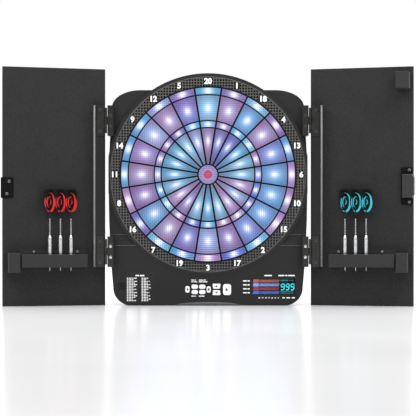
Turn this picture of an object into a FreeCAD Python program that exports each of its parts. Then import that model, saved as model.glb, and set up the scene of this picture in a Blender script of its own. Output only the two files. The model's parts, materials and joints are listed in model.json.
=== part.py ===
"""Electronic dartboard cabinet: a dial board with a button console, and two hinged doors.

Millimetres. +Z is up and the board faces -Y. The origin is the middle of the base that the
board stands on: x = 0 is the plane of symmetry, y = 0 the middle of the housing's depth.
The doors are drawn open, as they stand at rest.
"""
import FreeCAD, Part
import os
from math import cos, sin, pi, radians
from FreeCAD import Vector

os.makedirs("parts", exist_ok=True)

# ---------------------------------------------------------------- driving dimensions
# Dial
target_r = 171.5            # outside of the double ring of segments
double_w = 14.0             # width of the double ring
outer_single_w = 51.3       # width of the outer singles
triple_w = 13.7             # width of the triple ring
bull_ring_r = 18.7          # outside of the outer bull
bull_r = 8.6                # outside of the inner bull
sectors = 20                # wedges in the dial
wall = 2.4                  # walls of the spider between segments
number_ring_w = 21.5        # width of the perforated number ring
bezel_w = 6.5               # width of the round bezel
bezel_bottom_z = 58.8       # lowest point of the bezel

# Housing
bezel_over = 3.2            # the bezel's circle would reach this far past the housing's sides
shoulder_in = 6.5           # under the shoulder's round corner the side lies this far in
base_in = 9.5               # and this far in above the bottom corner
crown_rise = 32.7           # the bezel's top stands over the shoulders
body_depth = 46.0           # front shell's face to the rear cover's back
shell_wall = 3.0            # moulded wall of the housing
cover_wall = 2.5            # moulded wall of the rear cover
ring_proud = 6.0            # number ring and bezel stand in front of the shoulders
bottom_corner_r = 35.0      # round bottom corners
shoulder_corner = (56.0, 34.0)  # round shoulder corners, across and down
console_top_z = 118.0       # the console's flat face ends here
console_slope_z = 139.0     # its sloping ledge ends here
console_proud = 5.0         # console's face in front of the shoulders

# Doors
door_over = 9.2             # a door panel reaches past the bezel's top
door_t = 12.0               # thickness of a door panel
door_meet = 2.5             # half of the gap between the closed doors
hinge_out = 4.7             # hinge axes outside the housing's widest part
axis_proud = 10.0           # hinge axes in front of the number ring
door_edge_past = 3.2        # the panel reaches past its hinge axis
batten_w = 17.5             # width of the hinge batten
batten_over = 0.5           # the batten's top, past the upper hinge leaf
dial_clear = 4.0            # flights to the number ring when a door is closed
open_angle = 166.0          # the doors at rest, from closed
low_hinge_z = 106.0         # middle of the lower hinge
high_hinge_in = 61.5        # middle of the upper hinge, below the shoulder's top

# Hinges
leaf_h = 60.0               # height of a hinge leaf
leaf_w = 15.5               # width of a leaf, from the knuckle's axis
leaf_t = 1.5                # thickness of a leaf
knuckle_r = 3.0             # outside of the rolled knuckle
knuckle_h = 50.0            # length of the knuckle
pin_r = 1.5                 # hinge pin
pin_clear = 0.05            # pin in its knuckle, radial
screw_head_r = 3.2          # wood and case screws' heads
screw_r = 1.75              # their shanks
case_head_t = 1.5           # thickness of a case screw's head
sunk_r = 2.9                # countersunk hinge screws' heads
sunk_t = 1.2                # depth of their heads

# Dart holders and darts
holder_end = 10.5           # first hole's middle to the holder's end by the hinge
holder_far_end = 15.5       # last hole's middle to the holder's other end
holder_z = 75.5             # underside of the holder
holder_h = 25.5             # height of its front
holder_front = 14.0         # darts' axes to the holder's front
hole_count = 6              # holes in one holder
hole_r = 3.75               # holes for the dart barrels
dart_holes = (2, 3, 4)      # holes that hold a dart, counted from the hinge
dart_tip_z = 68.0           # lowest point of a dart at rest
flight_half = 16.5          # half width of a flight
wing_turn = 32.0            # a flight's wings are turned this far from the door

# Named clearances
gap = 0.3                   # moving piece to its neighbour
fit = 0.2                   # dart barrel in its hole, radial
button_gap = 0.35           # button in its cut-out
key_travel = 1.2            # how far a button presses
segment_travel = 0.8        # how far a dial segment presses
flight_gap = 1.0            # flight to the next dart's flight, and to the door

# ---------------------------------------------------------------- sizes that follow
double_in_r = target_r - double_w
triple_out_r = double_in_r - outer_single_w
triple_in_r = triple_out_r - triple_w
number_ring_r = target_r + number_ring_w
bezel_r = number_ring_r + bezel_w
dial_z = bezel_bottom_z + bezel_r             # height of the dial's centre
side_half = bezel_r - bezel_over              # half of the housing's greatest width
shoulder_half = side_half - shoulder_in
base_half = side_half - base_in
shoulder_z = dial_z + bezel_r - crown_rise    # top of the shoulders
hinge_x = side_half + hinge_out               # the hinge axes, left and right of the middle
hinge_z = (low_hinge_z, shoulder_z - high_hinge_in)
door_h = dial_z + bezel_r + door_over
batten_u = knuckle_r - 0.2                    # hinge axis to the batten's near side
batten_z = (hinge_z[0] - leaf_h / 2, hinge_z[1] + leaf_h / 2 + batten_over)
flight_reach = flight_half * cos(radians(wing_turn))
hole_pitch = (flight_half + flight_gap) / cos(radians(wing_turn))
dart_axis_off = flight_reach + flight_gap     # darts' axes in front of the door's face
batten_t = dart_axis_off + flight_reach + dial_clear - axis_proud
holder_depth = dart_axis_off + holder_front   # how far a holder stands off the door

# ---------------------------------------------------------------- planes that follow
front_y = -body_depth / 2                     # shoulders' face
back_y = body_depth / 2                       # rear cover's back
ring_y = front_y - ring_proud                 # number ring's face
console_y = front_y - console_proud           # console's face
axis_y = ring_y - axis_proud                  # plane of both hinge axes
door_free_u = hinge_x - door_meet             # free edge of a door, from the hinge axis

# The dial's layers, front to back
spider_y = ring_y + 0.5                       # spider's face
ring_back_y = ring_y + 3.0                    # number ring's back, on the housing's ledge
spider_back_y = spider_y + 8.0
segment_y = spider_y + 0.5                    # faces of the segments
segment_back_y = spider_back_y - segment_travel - 0.2
mat_t = 2.0
mat_back_y = spider_back_y + mat_t
plate_t = 3.0
plate_back_y = mat_back_y + plate_t
lamp_space = 4.0
led_front_y = plate_back_y + lamp_space
pcb_t = 1.6
flange_r = number_ring_r - 6.5                # spider's flange and backing plate
ledge_r = flange_r + 0.5                      # inside of the housing's ledge
spider_r = target_r + 1.4                     # outside of the spider's face
face_gap = 0.2                                # number ring in its seat, radial


# ---------------------------------------------------------------- helpers
def save(name, *shapes):
    """Write one node: a single solid, or a group of separate solids."""
    solids = [s for shape in shapes for s in shape.Solids]
    for s in solids:
        if not s.isValid():
            print("not valid:", name)
    out = solids[0] if len(solids) == 1 else Part.makeCompound(solids)
    out.exportStep("parts/" + name + ".step")
    print(f"{name}: {len(solids)}")


def box(x0, x1, y0, y1, z0, z1):
    """A block between two corners, given axis by axis."""
    return Part.makeBox(x1 - x0, y1 - y0, z1 - z0, Vector(x0, y0, z0))


def rod(x, z, r, y0, y1):
    """A round bar along Y, from y0 back to y1."""
    return Part.makeCylinder(r, y1 - y0, Vector(x, y0, z), Vector(0, 1, 0))


def post(x, y, r, z0, z1):
    """A round bar along Z."""
    return Part.makeCylinder(r, z1 - z0, Vector(x, y, z0), Vector(0, 0, 1))


def plate(edges, y0, y1):
    """A flat piece from a closed outline in the XZ plane, from y0 back to y1."""
    face = Part.Face(Part.Wire(Part.__sortEdges__(edges)))
    face.translate(Vector(0, y0, 0))
    return face.extrude(Vector(0, y1 - y0, 0))


def rounded(x0, x1, z0, z1, r, y0, y1):
    """A plate with four round corners."""
    body = box(x0, x1, y0, y1, z0, z1)
    corners = [e for e in body.Edges if abs(e.tangentAt(e.FirstParameter).y) > 0.9]
    return body.makeFillet(r, corners)


def mirrored(shape):
    """The same piece on the other side of the board."""
    return shape.mirror(Vector(0, 0, 0), Vector(1, 0, 0))


def fused(first, *others):
    """The pieces joined into one."""
    whole = first.fuse(list(others)).removeSplitter()
    return whole.Solids[0] if len(whole.Solids) == 1 else whole


def line(a, b):
    return Part.LineSegment(Vector(a[0], 0, a[1]), Vector(b[0], 0, b[1])).toShape()


def arc(a, b, c):
    return Part.Arc(*(Vector(p[0], 0, p[1]) for p in (a, b, c))).toShape()


# ---------------------------------------------------------------- housing
side_bow = 0.98             # an arc with unlike ends bulges a little more than at its middle


def outline(inset, y0, y1):
    """The housing's front view, drawn inset from its edge, as a plate."""
    side = side_half - inset
    low, high = base_half - inset, shoulder_half - inset
    bottom, top = inset, shoulder_z - inset
    r = max(bottom_corner_r - inset, 2)
    across, down = (max(s - inset, 2) for s in shoulder_corner)
    mid = (low + high) / 2 + (side_half - (base_half + shoulder_half) / 2) * side_bow
    centre = ((top - down) + (bottom + r)) / 2
    edges = [line((-low + r, bottom), (low - r, bottom)), line((-high + across, top), (high - across, top))]
    round_mid = (low - r + r * sin(pi / 4), bottom + r - r * cos(pi / 4))
    for s in (-1, 1):
        edges.append(arc((s * (low - r), bottom), (s * round_mid[0], round_mid[1]), (s * low, bottom + r)))
        edges.append(arc((s * low, bottom + r), (s * mid, centre), (s * high, top - down)))
        edges.append(corner_curve(s, high, top, across, down))
    body = plate(edges, y0, y1)
    crown = rod(0, dial_z, bezel_r - inset, y0, y1).common(box(-side, side, y0, y1, 0, 2 * shoulder_z))
    return body.fuse(crown).removeSplitter()


def corner_curve(s, high, top, across, down):
    """A quarter of an ellipse from the side to the shoulder's top."""
    centre = Vector(s * (high - across), 0, top - down)
    sweep = Part.Ellipse(centre + Vector(s * across, 0, 0), centre + Vector(0, 0, down), centre)
    a = sweep.parameter(centre + Vector(s * across, 0, 0))
    b = sweep.parameter(centre + Vector(0, 0, down))
    if (b - a) % (2 * pi) > pi:
        a, b = b, a
    return sweep.toShape(a, b if b > a else b + 2 * pi)


def console_block(inset, front, back):
    """The console that stands in front of the shoulders, with its sloping ledge."""
    profile = [(front, -1), (back, -1), (back, console_slope_z - inset), (front, console_top_z - inset)]
    points = [Vector(-side_half - 1, y, z) for y, z in profile]
    face = Part.Face(Part.makePolygon(points + points[:1]))
    return face.extrude(Vector(2 * side_half + 2, 0, 0)).common(outline(inset, front, back))


# Screws that close the housing, and the bosses that they go into
screw_corners = ((shoulder_half - 29, shoulder_z - 26), (side_half - 18.5, console_top_z + 6),
                 (base_half - 12, console_top_z - 40), (base_half - 74, 12))
case_screw_places = [(s * x, z) for s in (-1, 1) for x, z in screw_corners]
boss_r = 4.5
seat_over = 3.0                # a hinge seat reaches past its bracket
lamp_post_count = 8
lamp_w = 5.0
lamp_t = 1.6
lamp_post_r = 3.5
board_boss_r = 3.0          # posts behind the console that carry the main board
case_screw_l = 13.0         # how far they go into a boss
cover_y = back_y - cover_wall                 # rear cover's inner face
cover_gap = 0.4                               # rear cover inside the housing's wall

# Display window, legend, speaker slots and keys on the console
window = (base_half - 99.5, base_half - 15.0, 21.0, 52.5)     # low x, high x, low z, high z
window_t = 2.0
window_lip = 2.0                              # ledge that the window sits on
legend = (22.0 - base_half, 86.0 - base_half, 7.0, 66.0)
legend_t = 0.5
speaker_at = (15.0 - base_half, 38.0)
speaker_r = 12.0
speaker_t = 3.0
speaker_magnet_t = 7.0
slot_size = (2.2, 14.0)
slot_count = 3
slot_pitch = 5.1
jack_at = (6.0, 60.0)                         # DC inlet on the right side: y and z
jack_pin_r = 0.9
jack_in = 9.5                # the jack's wall lies this far inside the side
jack_body = (5.5, 6.0)       # half depth and half height
jack_r = 4.0
jack_bore_r = 2.75


def key_plan():
    """Each key's name, kind, centre and size, as they lie on the console."""
    keys = [("key_power", "oval", -40.5, 31.7, 8.3, 12.8), ("key_sound", "oval", 1.4, 31.5, 7.9, 12.4)]
    for n, (x, z) in enumerate([(-26.2, 36.9), (-11.2, 36.9), (-26.2, 26.4), (-11.2, 26.4)], 1):
        keys.append((f"key_option_{n}", "oval", x, z, 12.4, 8.1))
    keys.append(("key_up", "wedge_up", 16.8, 37.8, 16.0, 9.6))
    keys.append(("key_down", "wedge_down", 16.8, 25.2, 16.0, 9.6))
    keys.append(("key_start", "octagon", 37.6, 31.2, 16.0, 21.6))
    return keys


def key_prism(kind, x, z, w, h, grow, y0, y1):
    """A key's outline as a block, grown all round."""
    x0, x1, z0, z1 = x - w / 2 - grow, x + w / 2 + grow, z - h / 2 - grow, z + h / 2 + grow
    if kind == "oval":
        return rounded(x0, x1, z0, z1, min(w, h) * 0.42 + grow, y0, y1)
    if kind == "octagon":
        return rounded(x0, x1, z0, z1, 5.0 + grow, y0, y1)
    taper = 1.4
    low, high = (taper, 0) if kind == "wedge_up" else (0, taper)
    corners = [(x0 + low, z0), (x1 - low, z0), (x1 - high, z1), (x0 + high, z1)]
    body = plate([line(a, b) for a, b in zip(corners, corners[1:] + corners[:1])], y0, y1)
    return body.makeFillet(1.6 + grow, [e for e in body.Edges if abs(e.tangentAt(e.FirstParameter).y) > 0.9])


# Hinge brackets stand on flat seats at the sides of the housing
bracket_x = (side_half - 9.8, hinge_x - 4.0)  # inner and outer side of a bracket
bracket_h = leaf_h
leaf_gap = 0.2                                # each leaf to the plane of the axis
board_leaf_y = axis_y + leaf_gap              # front of a leaf on the board
bracket_y = board_leaf_y + leaf_t             # front of a bracket
hinge_screw_dz = 10.6                         # hinge screws above and below a hinge's middle
hinge_screw_x = (bracket_x[0] + bracket_x[1]) / 2 - 0.4
bracket_screw_end = 9.0                       # their points, behind the seat


def front_housing():
    """The moulded shell: shoulders, round bezel, console, bosses and every cut-out in them."""
    skin = fused(outline(0, front_y, cover_y + cover_wall), console_block(0, console_y, front_y + 1),
                 bezel(bezel_r, ring_y, front_y + 1))
    hollow = fused(outline(shell_wall, front_y + shell_wall, back_y + 1),
                   console_block(shell_wall, console_y + shell_wall, front_y + shell_wall + 1))
    shell = skin.cut(hollow)
    ledge = bezel(bezel_r, ring_y, plate_back_y)
    shell = shell.fuse(ledge)
    for s in (-1, 1):
        for z in hinge_z:
            across = sorted((s * (bracket_x[0] - seat_over), s * side_half))
            half = bracket_h / 2 + seat_over
            seat = box(*across, console_y, front_y + shell_wall + bracket_screw_end + 1, z - half, z + half)
            shell = shell.fuse(seat.common(skin))
    for x, z in case_screw_places:
        front = front_y if z > console_slope_z else console_y
        shell = shell.fuse(rod(x, z, boss_r, front + shell_wall - 1, cover_y).common(skin))
    for x, z in board_screw_places:
        shell = shell.fuse(rod(x, z, board_boss_r, console_y + shell_wall - 1, main_board_y))
    shell = shell.removeSplitter()
    cuts = [rod(0, dial_z, flange_r + face_gap, ring_back_y, plate_back_y + 1),
            rod(0, dial_z, number_ring_r + face_gap, ring_y - 1, ring_back_y)]
    for s in (-1, 1):
        for z in hinge_z:
            x0, x1 = sorted((s * (bracket_x[0] - gap), s * (side_half + 5)))
            cuts.append(box(x0, x1, ring_y - 1, front_y, z - bracket_h / 2 - gap, z + bracket_h / 2 + gap))
            for dz in (-hinge_screw_dz, hinge_screw_dz):
                cuts.append(rod(s * hinge_screw_x, z + dz, screw_r, front_y - 1, front_y + bracket_screw_end))
    for x, z in case_screw_places:
        cuts.append(rod(x, z, screw_r, cover_y - case_screw_l - 1, cover_y + 1))
    for name, kind, x, z, w, h in key_plan():
        cuts.append(key_prism(kind, x, z, w, h, button_gap, console_y - 1, console_y + shell_wall + 1))
    x0, x1, z0, z1 = window
    cuts.append(rounded(x0, x1, z0, z1, 2.0, console_y - 1, console_y + window_t))
    cuts.append(box(x0 + window_lip, x1 - window_lip, console_y, console_y + shell_wall + 1,
                    z0 + window_lip, z1 - window_lip))
    x0, x1, z0, z1 = legend
    cuts.append(rounded(x0, x1, z0, z1, 3.0, console_y - 1, console_y + legend_t))
    for n in range(slot_count):
        x = speaker_at[0] + (n - (slot_count - 1) / 2) * slot_pitch
        cuts.append(rounded(x - slot_size[0] / 2, x + slot_size[0] / 2, speaker_at[1] - slot_size[1] / 2,
                            speaker_at[1] + slot_size[1] / 2, slot_size[0] * 0.49,
                            console_y - 1, console_y + shell_wall + 1))
    y, z = jack_at
    cuts.append(Part.makeCylinder(jack_r + 0.1, 40, Vector(side_half - 30, y, z), Vector(1, 0, 0)))
    shell = shell.cut(Part.makeCompound(cuts))
    return shell.removeSplitter()


def bezel(r, y0, y1):
    """The round rim that carries the number ring, flat at both sides of the housing."""
    disc = rod(0, dial_z, r, y0, y1).common(box(-side_half, side_half, y0, y1, 0, 2 * shoulder_z))
    return disc.common(fused(outline(0, y0, y1), box(-1, 1, y0, y1, 1, 2)))


case_head_y = back_y - 0.1                    # screw heads lie just under the cover's face
rib_half = 110.0            # half length of the cover's ribs
rib_h = 3.0                 # how far they stand in


def rear_cover():
    """The flat back, with stiffening ribs inside and two keyhole slots for wall screws."""
    inset = shell_wall + cover_gap
    body = outline(inset, cover_y, back_y)
    for x, z in case_screw_places:
        body = body.cut(rod(x, z, screw_r + gap, cover_y - 1, back_y + 1))
        body = body.cut(rod(x, z, screw_head_r + gap, case_head_y - case_head_t, back_y + 1))
    for x in keyhole_x:
        body = body.cut(rod(x, keyhole_z, keyhole_r, cover_y - 1, back_y + 1))
        body = body.cut(box(x - keyhole_slot, x + keyhole_slot, cover_y - 1, back_y + 1,
                            keyhole_z, keyhole_z + keyhole_rise))
        body = body.cut(rod(x, keyhole_z + keyhole_rise, keyhole_slot, cover_y - 1, back_y + 1))
    ribs = [box(-rib_half, rib_half, cover_y - rib_h, cover_y, dial_z + dz - 1, dial_z + dz + 1)
            for dz in (-138, -58, 2)]
    return body.fuse(ribs).removeSplitter()


keyhole_x = (-80.0, 80.0)
keyhole_z = dial_z + 72.0
keyhole_r = 4.5             # round entry for a wall screw's head
keyhole_slot = 2.3          # half width of the slot above it
keyhole_rise = 11.0         # height of the slot above the entry

# Boards behind the console
key_face = 1.5              # keys stand out of the console
key_flange_t = 1.0
key_flange_over = 0.65      # flange behind the wall, past the cut-out
wall_back = console_y + shell_wall
key_flange_y = wall_back + 0.2
mat_y = key_flange_y + key_flange_t + key_travel + 0.2
keypad_t = 2.0
main_board_y = mat_y + keypad_t
board_area = (-62.0, 62.0, 9.0, 57.0)
board_screw_places = [(x, z) for x in (-57.0, 57.0) for z in (13.5, 52.0)]


def case_screws():
    """Screws that hold the rear cover to the shell's bosses."""
    return [fused(rod(x, z, screw_r, cover_y - case_screw_l, case_head_y),
                  rod(x, z, screw_head_r, case_head_y - case_head_t, case_head_y))
            for x, z in case_screw_places]


# ---------------------------------------------------------------- dial
def polar(r, a):
    """A point on the dial: a is clockwise from the top, in radians."""
    return (r * sin(a), dial_z + r * cos(a))


def wedge(r0, r1, number, shrink, y0, y1):
    """One sector's piece between two radii; its sides stay parallel to the spokes."""
    a0, a1 = (2 * pi * (number + k) / sectors for k in (-0.5, 0.5))
    side = wall / 2 + shrink
    lo, hi = r0 + shrink, r1 - shrink
    d0, d1 = side / lo, side / hi
    am = (a0 + a1) / 2
    edges = [arc(polar(lo, a0 + d0), polar(lo, am), polar(lo, a1 - d0)),
             line(polar(lo, a1 - d0), polar(hi, a1 - d1)),
             arc(polar(hi, a1 - d1), polar(hi, am), polar(hi, a0 + d1)),
             line(polar(hi, a0 + d1), polar(lo, a0 + d0))]
    return plate(edges, y0, y1)


bull_wall_r = bull_ring_r + wall              # inside of the innermost wedges
rings = {"double_segments": (double_in_r + wall / 2, target_r),
         "outer_single_segments": (triple_out_r + wall / 2, double_in_r - wall / 2),
         "triple_segments": (triple_in_r + wall / 2, triple_out_r - wall / 2),
         "inner_single_segments": (bull_wall_r, triple_in_r - wall / 2)}


def spider():
    """The moulded web that guides every segment."""
    web = fused(rod(0, dial_z, spider_r, spider_y, spider_back_y),
                rod(0, dial_z, flange_r, ring_back_y, spider_back_y))
    pockets = [wedge(r0, r1, n, 0, spider_y - 1, spider_back_y + 1)
               for r0, r1 in rings.values() for n in range(sectors)]
    pockets.append(rod(0, dial_z, bull_ring_r, spider_y - 1, spider_back_y + 1))
    return web.cut(Part.makeCompound(pockets))


def tube(r0, r1, y0, y1):
    return rod(0, dial_z, r1, y0, y1).cut(rod(0, dial_z, r0, y0 - 1, y1 + 1))


def led_boards():
    """The lamp board behind the dial and its soldered lamps, one behind each segment."""
    board = rod(0, dial_z, flange_r - 6, led_front_y, led_front_y + pcb_t)
    half = lamp_w / 2
    lamps = [box(-half, half, led_front_y - lamp_t, led_front_y, dial_z - half, dial_z + half)]
    for r0, r1 in rings.values():
        for n in range(sectors):
            x, z = polar((r0 + r1) / 2, 2 * pi * n / sectors)
            lamps.append(box(x - half, x + half, led_front_y - lamp_t, led_front_y, z - half, z + half))
    return [board] + lamps


def backing_plate():
    """Clear plate behind the sensor mat, with posts that carry the lamp board."""
    posts = []
    for n in range(lamp_post_count):
        x, z = polar(flange_r - 12, 2 * pi * (n + 0.5) / lamp_post_count)
        posts.append(rod(x, z, lamp_post_r, plate_back_y - 1, led_front_y))
    return fused(rod(0, dial_z, flange_r, mat_back_y, plate_back_y), *posts)


# ---------------------------------------------------------------- console pieces
def key(kind, x, z, w, h):
    """A button: its cap stands out of the console, its flange keeps it in."""
    front = console_y - key_face
    cap = key_prism(kind, x, z, w, h, 0, front, key_flange_y + 0.5)
    rim = [e for f in cap.Faces if abs(f.BoundBox.YMax - front) < 0.01 for e in f.Edges]
    cap = cap.makeFillet(0.5, rim)
    grow = button_gap + key_flange_over
    flange = key_prism(kind, x, z, w, h, grow, key_flange_y, key_flange_y + key_flange_t)
    return fused(cap, flange)


def keypad_mat():
    """Rubber mat that springs the keys back."""
    return rounded(-52, 52, 17, 48, 3, mat_y, main_board_y)


def display():
    """The numeral module behind the window, and its board."""
    x0, x1, z0, z1 = window
    face = console_y + window_t + 0.1
    keep = window_lip + 0.3
    module = box(x0 + keep, x1 - keep, face, main_board_y, z0 + keep, z1 - keep)
    return module


def circuit_boards():
    """The main board behind the keys and the display's board."""
    x0, x1, z0, z1 = board_area
    main = box(x0, x1, main_board_y, main_board_y + pcb_t, z0, z1)
    x0, x1, z0, z1 = window
    side = box(x0 - 3, x1 + 3, main_board_y, main_board_y + pcb_t, z0 - 2, z1 + 2)
    return [main, side]


def speaker():
    x, z = speaker_at
    cone = rod(x, z, speaker_r, wall_back, wall_back + speaker_t)
    magnet = rod(x, z, speaker_r * 0.6, wall_back + speaker_t, wall_back + speaker_t + speaker_magnet_t)
    return fused(cone, magnet)


def power_jack():
    """DC inlet: a barrel in the side wall, behind it its body."""
    y, z = jack_at
    wall_x = side_half - jack_in
    nose = Part.makeCylinder(jack_r, 9, Vector(wall_x - 6, y, z), Vector(1, 0, 0))
    half_y, half_z = jack_body
    body = box(wall_x - 16, wall_x - 6, y - half_y, y + half_y, z - half_z, z + half_z)
    jack = fused(nose, body)
    jack = jack.cut(Part.makeCylinder(jack_bore_r, 13, Vector(wall_x - 10, y, z), Vector(1, 0, 0)))
    pin = Part.makeCylinder(jack_pin_r, 10, Vector(wall_x - 10.5, y, z), Vector(1, 0, 0))
    return jack.fuse(pin).removeSplitter()


# ---------------------------------------------------------------- hinges
def knuckle(x, z, low, high):
    """The rolled part of a leaf between two heights, bored for the pin."""
    return post(x, axis_y, knuckle_r, z + low, z + high)


third = knuckle_h / 3
knuckle_gap = 0.3


def board_hinge(s, z):
    """The board's leaf: middle knuckle, riveted pin, two screw holes."""
    x = s * hinge_x
    reach = x - s * leaf_w
    leaf = box(*sorted((x - s * (knuckle_r + 0.5), reach)), board_leaf_y, board_leaf_y + leaf_t,
               z - leaf_h / 2, z + leaf_h / 2)
    neck = box(*sorted((x, x - s * (knuckle_r + 1))), board_leaf_y, board_leaf_y + leaf_t,
               z - third / 2 + knuckle_gap / 2, z + third / 2 - knuckle_gap / 2)
    barrel = knuckle(x, z, -third / 2 + knuckle_gap / 2, third / 2 - knuckle_gap / 2)
    pin = post(x, axis_y, pin_r, z - knuckle_h / 2, z + knuckle_h / 2)
    leaf = fused(leaf, neck, barrel, pin)
    for dz in (-hinge_screw_dz, hinge_screw_dz):
        hole = rod(s * hinge_screw_x, z + dz, screw_r, board_leaf_y - 1, board_leaf_y + leaf_t + 1)
        leaf = leaf.cut(hole.fuse(sunk_head(s * hinge_screw_x, z + dz, board_leaf_y, 1)))
    return leaf


def bracket(s, z):
    """The block that carries a board leaf in front of the housing's seat."""
    x0, x1 = sorted((s * bracket_x[0], s * bracket_x[1]))
    block = box(x0, x1, bracket_y, front_y, z - bracket_h / 2, z + bracket_h / 2)
    edges = [e for e in block.Edges if abs(e.tangentAt(e.FirstParameter).y) > 0.9]
    block = block.makeFillet(2.0, edges)
    for dz in (-hinge_screw_dz, hinge_screw_dz):
        block = block.cut(rod(s * hinge_screw_x, z + dz, screw_r, bracket_y - 1, front_y + 1))
    return block


def board_hinge_screws():
    screws = []
    for s in (-1, 1):
        for z in hinge_z:
            for dz in (-hinge_screw_dz, hinge_screw_dz):
                shank = rod(s * hinge_screw_x, z + dz, screw_r, board_leaf_y, front_y + bracket_screw_end)
                screws.append(fused(shank, sunk_head(s * hinge_screw_x, z + dz, board_leaf_y, 1)))
    return screws


def sunk_head(x, z, y, way):
    """A countersunk head whose face is at y; way is +1 when the screw runs towards +Y."""
    head = Part.makeCone(sunk_r, screw_r, sunk_t, Vector(x, y, z), Vector(0, way, 0))
    return head


# ---------------------------------------------------------------- doors
# A door is drawn closed as the left one: u runs along +X from the hinge axis and n is +Y, the
# way to the board. It is then turned open, and mirrored for the right-hand door.
panel_n = -batten_t                           # the panel's inner face
door_leaf_n = -leaf_gap - leaf_t              # back of a door leaf, on the batten
spacer_t = batten_t + axis_proud - 0.5        # blocks end half a millimetre off the ring


def du(u):
    return u - hinge_x


def dn(n):
    return n + axis_y


def dbox(u0, u1, n0, n1, z0, z1):
    """A block on the closed left door."""
    return box(du(u0), du(u1), dn(n0), dn(n1), z0, z1)


def place(shape, side):
    """Turn a piece of the closed left door to rest; side 1 makes it the right-hand door's."""
    turned = shape.copy()
    turned.rotate(Vector(-hinge_x, axis_y, 0), Vector(0, 0, 1), -open_angle)
    return mirrored(turned) if side > 0 else turned


def inward_dome(u, z, n, r=screw_head_r):
    """A round screw head on a door, standing towards the board."""
    height = r * 0.55
    big = (r * r + height * height) / (2 * height)
    ball = Part.makeSphere(big, Vector(du(u), dn(n + height - big), z))
    return ball.common(rod(du(u), z, r, dn(n), dn(n + height)))


def door_screw(u, z, n, length):
    return fused(inward_dome(u, z, n), rod(du(u), z, screw_r, dn(n - length), dn(n)))


def batten():
    piece = dbox(batten_u, batten_u + batten_w, panel_n, door_leaf_n, *batten_z)
    return piece.makeFillet(1.0, [e for e in piece.Edges if abs(e.tangentAt(e.FirstParameter).z) > 0.9
                                  and e.BoundBox.YMin > dn(door_leaf_n) - 0.1])


leaf_screw_u = 11.0
leaf_screw_dz = 21.0
leaf_screw_l = 16.0


def door_hinge(z):
    """The door's leaf: upper and lower knuckles and two screw holes."""
    half = leaf_h / 2
    parts = [dbox(knuckle_r + 0.5, batten_u + leaf_w - 0.5, door_leaf_n, -leaf_gap, z - half, z + half)]
    inner_end = third / 2 + knuckle_gap / 2
    for low, high in ((-knuckle_h / 2, -inner_end), (inner_end, knuckle_h / 2)):
        parts.append(knuckle(-hinge_x, z, low, high))
        parts.append(dbox(0, knuckle_r + 1, door_leaf_n, -leaf_gap, z + low, z + high))
    leaf = fused(*parts)
    leaf = leaf.cut(post(-hinge_x, axis_y, pin_r + pin_clear, z - leaf_h, z + leaf_h))
    for dz in (-leaf_screw_dz, leaf_screw_dz):
        hole = rod(du(leaf_screw_u), z + dz, screw_r, dn(door_leaf_n) - 1, dn(0) + 1)
        leaf = leaf.cut(hole.fuse(sunk_head(du(leaf_screw_u), z + dz, dn(-leaf_gap), -1)))
    return leaf


def leaf_screw(z):
    """A countersunk screw through a door leaf into the batten."""
    shank = rod(du(leaf_screw_u), z, screw_r, dn(-leaf_gap - leaf_screw_l), dn(-leaf_gap))
    return fused(shank, sunk_head(du(leaf_screw_u), z, dn(-leaf_gap), -1))


flange_rise = 9.0
def depth_edges(piece):
    """The edges that run from front to back."""
    return [e for e in piece.Edges if abs(e.tangentAt(e.FirstParameter).y) > 0.9]


def far_edges(piece, n):
    """The edges at a door piece's far face, n from the hinge axis."""
    return [e for e in piece.Edges if e.BoundBox.YMin > dn(n) - 0.1]


flange_t = 2.0
holder_screw_z = holder_z + holder_h + flange_rise / 2
nest_r = 2.3                                  # the dart's nose goes through this
nest_z = holder_z + holder_h - 8.5            # ledge that a barrel stands on
lower_block = (door_free_u - 31.2, door_free_u - 9.2, 66.0, 104.0)
upper_block = (door_free_u - 31.5, door_free_u - 5.5, door_h - 45.0, door_h - 13.0)
block_edge_r = 1.2
block_gap = 2.0                               # between a holder and the block beside it
holder_l = holder_end + hole_pitch * (hole_count - 1) + holder_far_end
holder_u = (lower_block[0] - block_gap - holder_l, lower_block[0] - block_gap)
hole_first_u = holder_u[0] + holder_end
hole_n = panel_n + dart_axis_off
holder_screw_u = (holder_u[0] + 16.7, holder_u[1] - 27.3)


def hole_u(n):
    """Where hole number n is, counted from the hinge."""
    return hole_first_u + hole_pitch * (n - 1)


def dart_holder():
    """A bar with six stepped holes and a flange with two screws."""
    bar = dbox(*holder_u, panel_n, panel_n + holder_depth, holder_z, holder_z + holder_h)
    bar = bar.makeFillet(2.0, [e for e in bar.Edges if abs(e.tangentAt(e.FirstParameter).y) < 0.1
                               and e.BoundBox.YMin > dn(panel_n + holder_depth) - 0.1])
    top = holder_z + holder_h + flange_rise
    bar = bar.fuse(dbox(*holder_u, panel_n, panel_n + flange_t, holder_z + 5, top))
    holes = []
    for n in range(1, hole_count + 1):
        holes.append(post(du(hole_u(n)), dn(hole_n), hole_r, nest_z, holder_z + holder_h + 1))
        holes.append(post(du(hole_u(n)), dn(hole_n), nest_r, holder_z - 1, nest_z + 1))
    for u in holder_screw_u:
        holes.append(rod(du(u), holder_screw_z, screw_r, dn(panel_n) - 1, dn(panel_n + flange_t) + 1))
    return bar.cut(Part.makeCompound(holes)).removeSplitter()


def block(u0, u1, z0, z1):
    piece = dbox(u0, u1, panel_n, panel_n + spacer_t, z0, z1)
    return piece.makeFillet(block_edge_r, far_edges(piece, panel_n + spacer_t))


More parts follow.
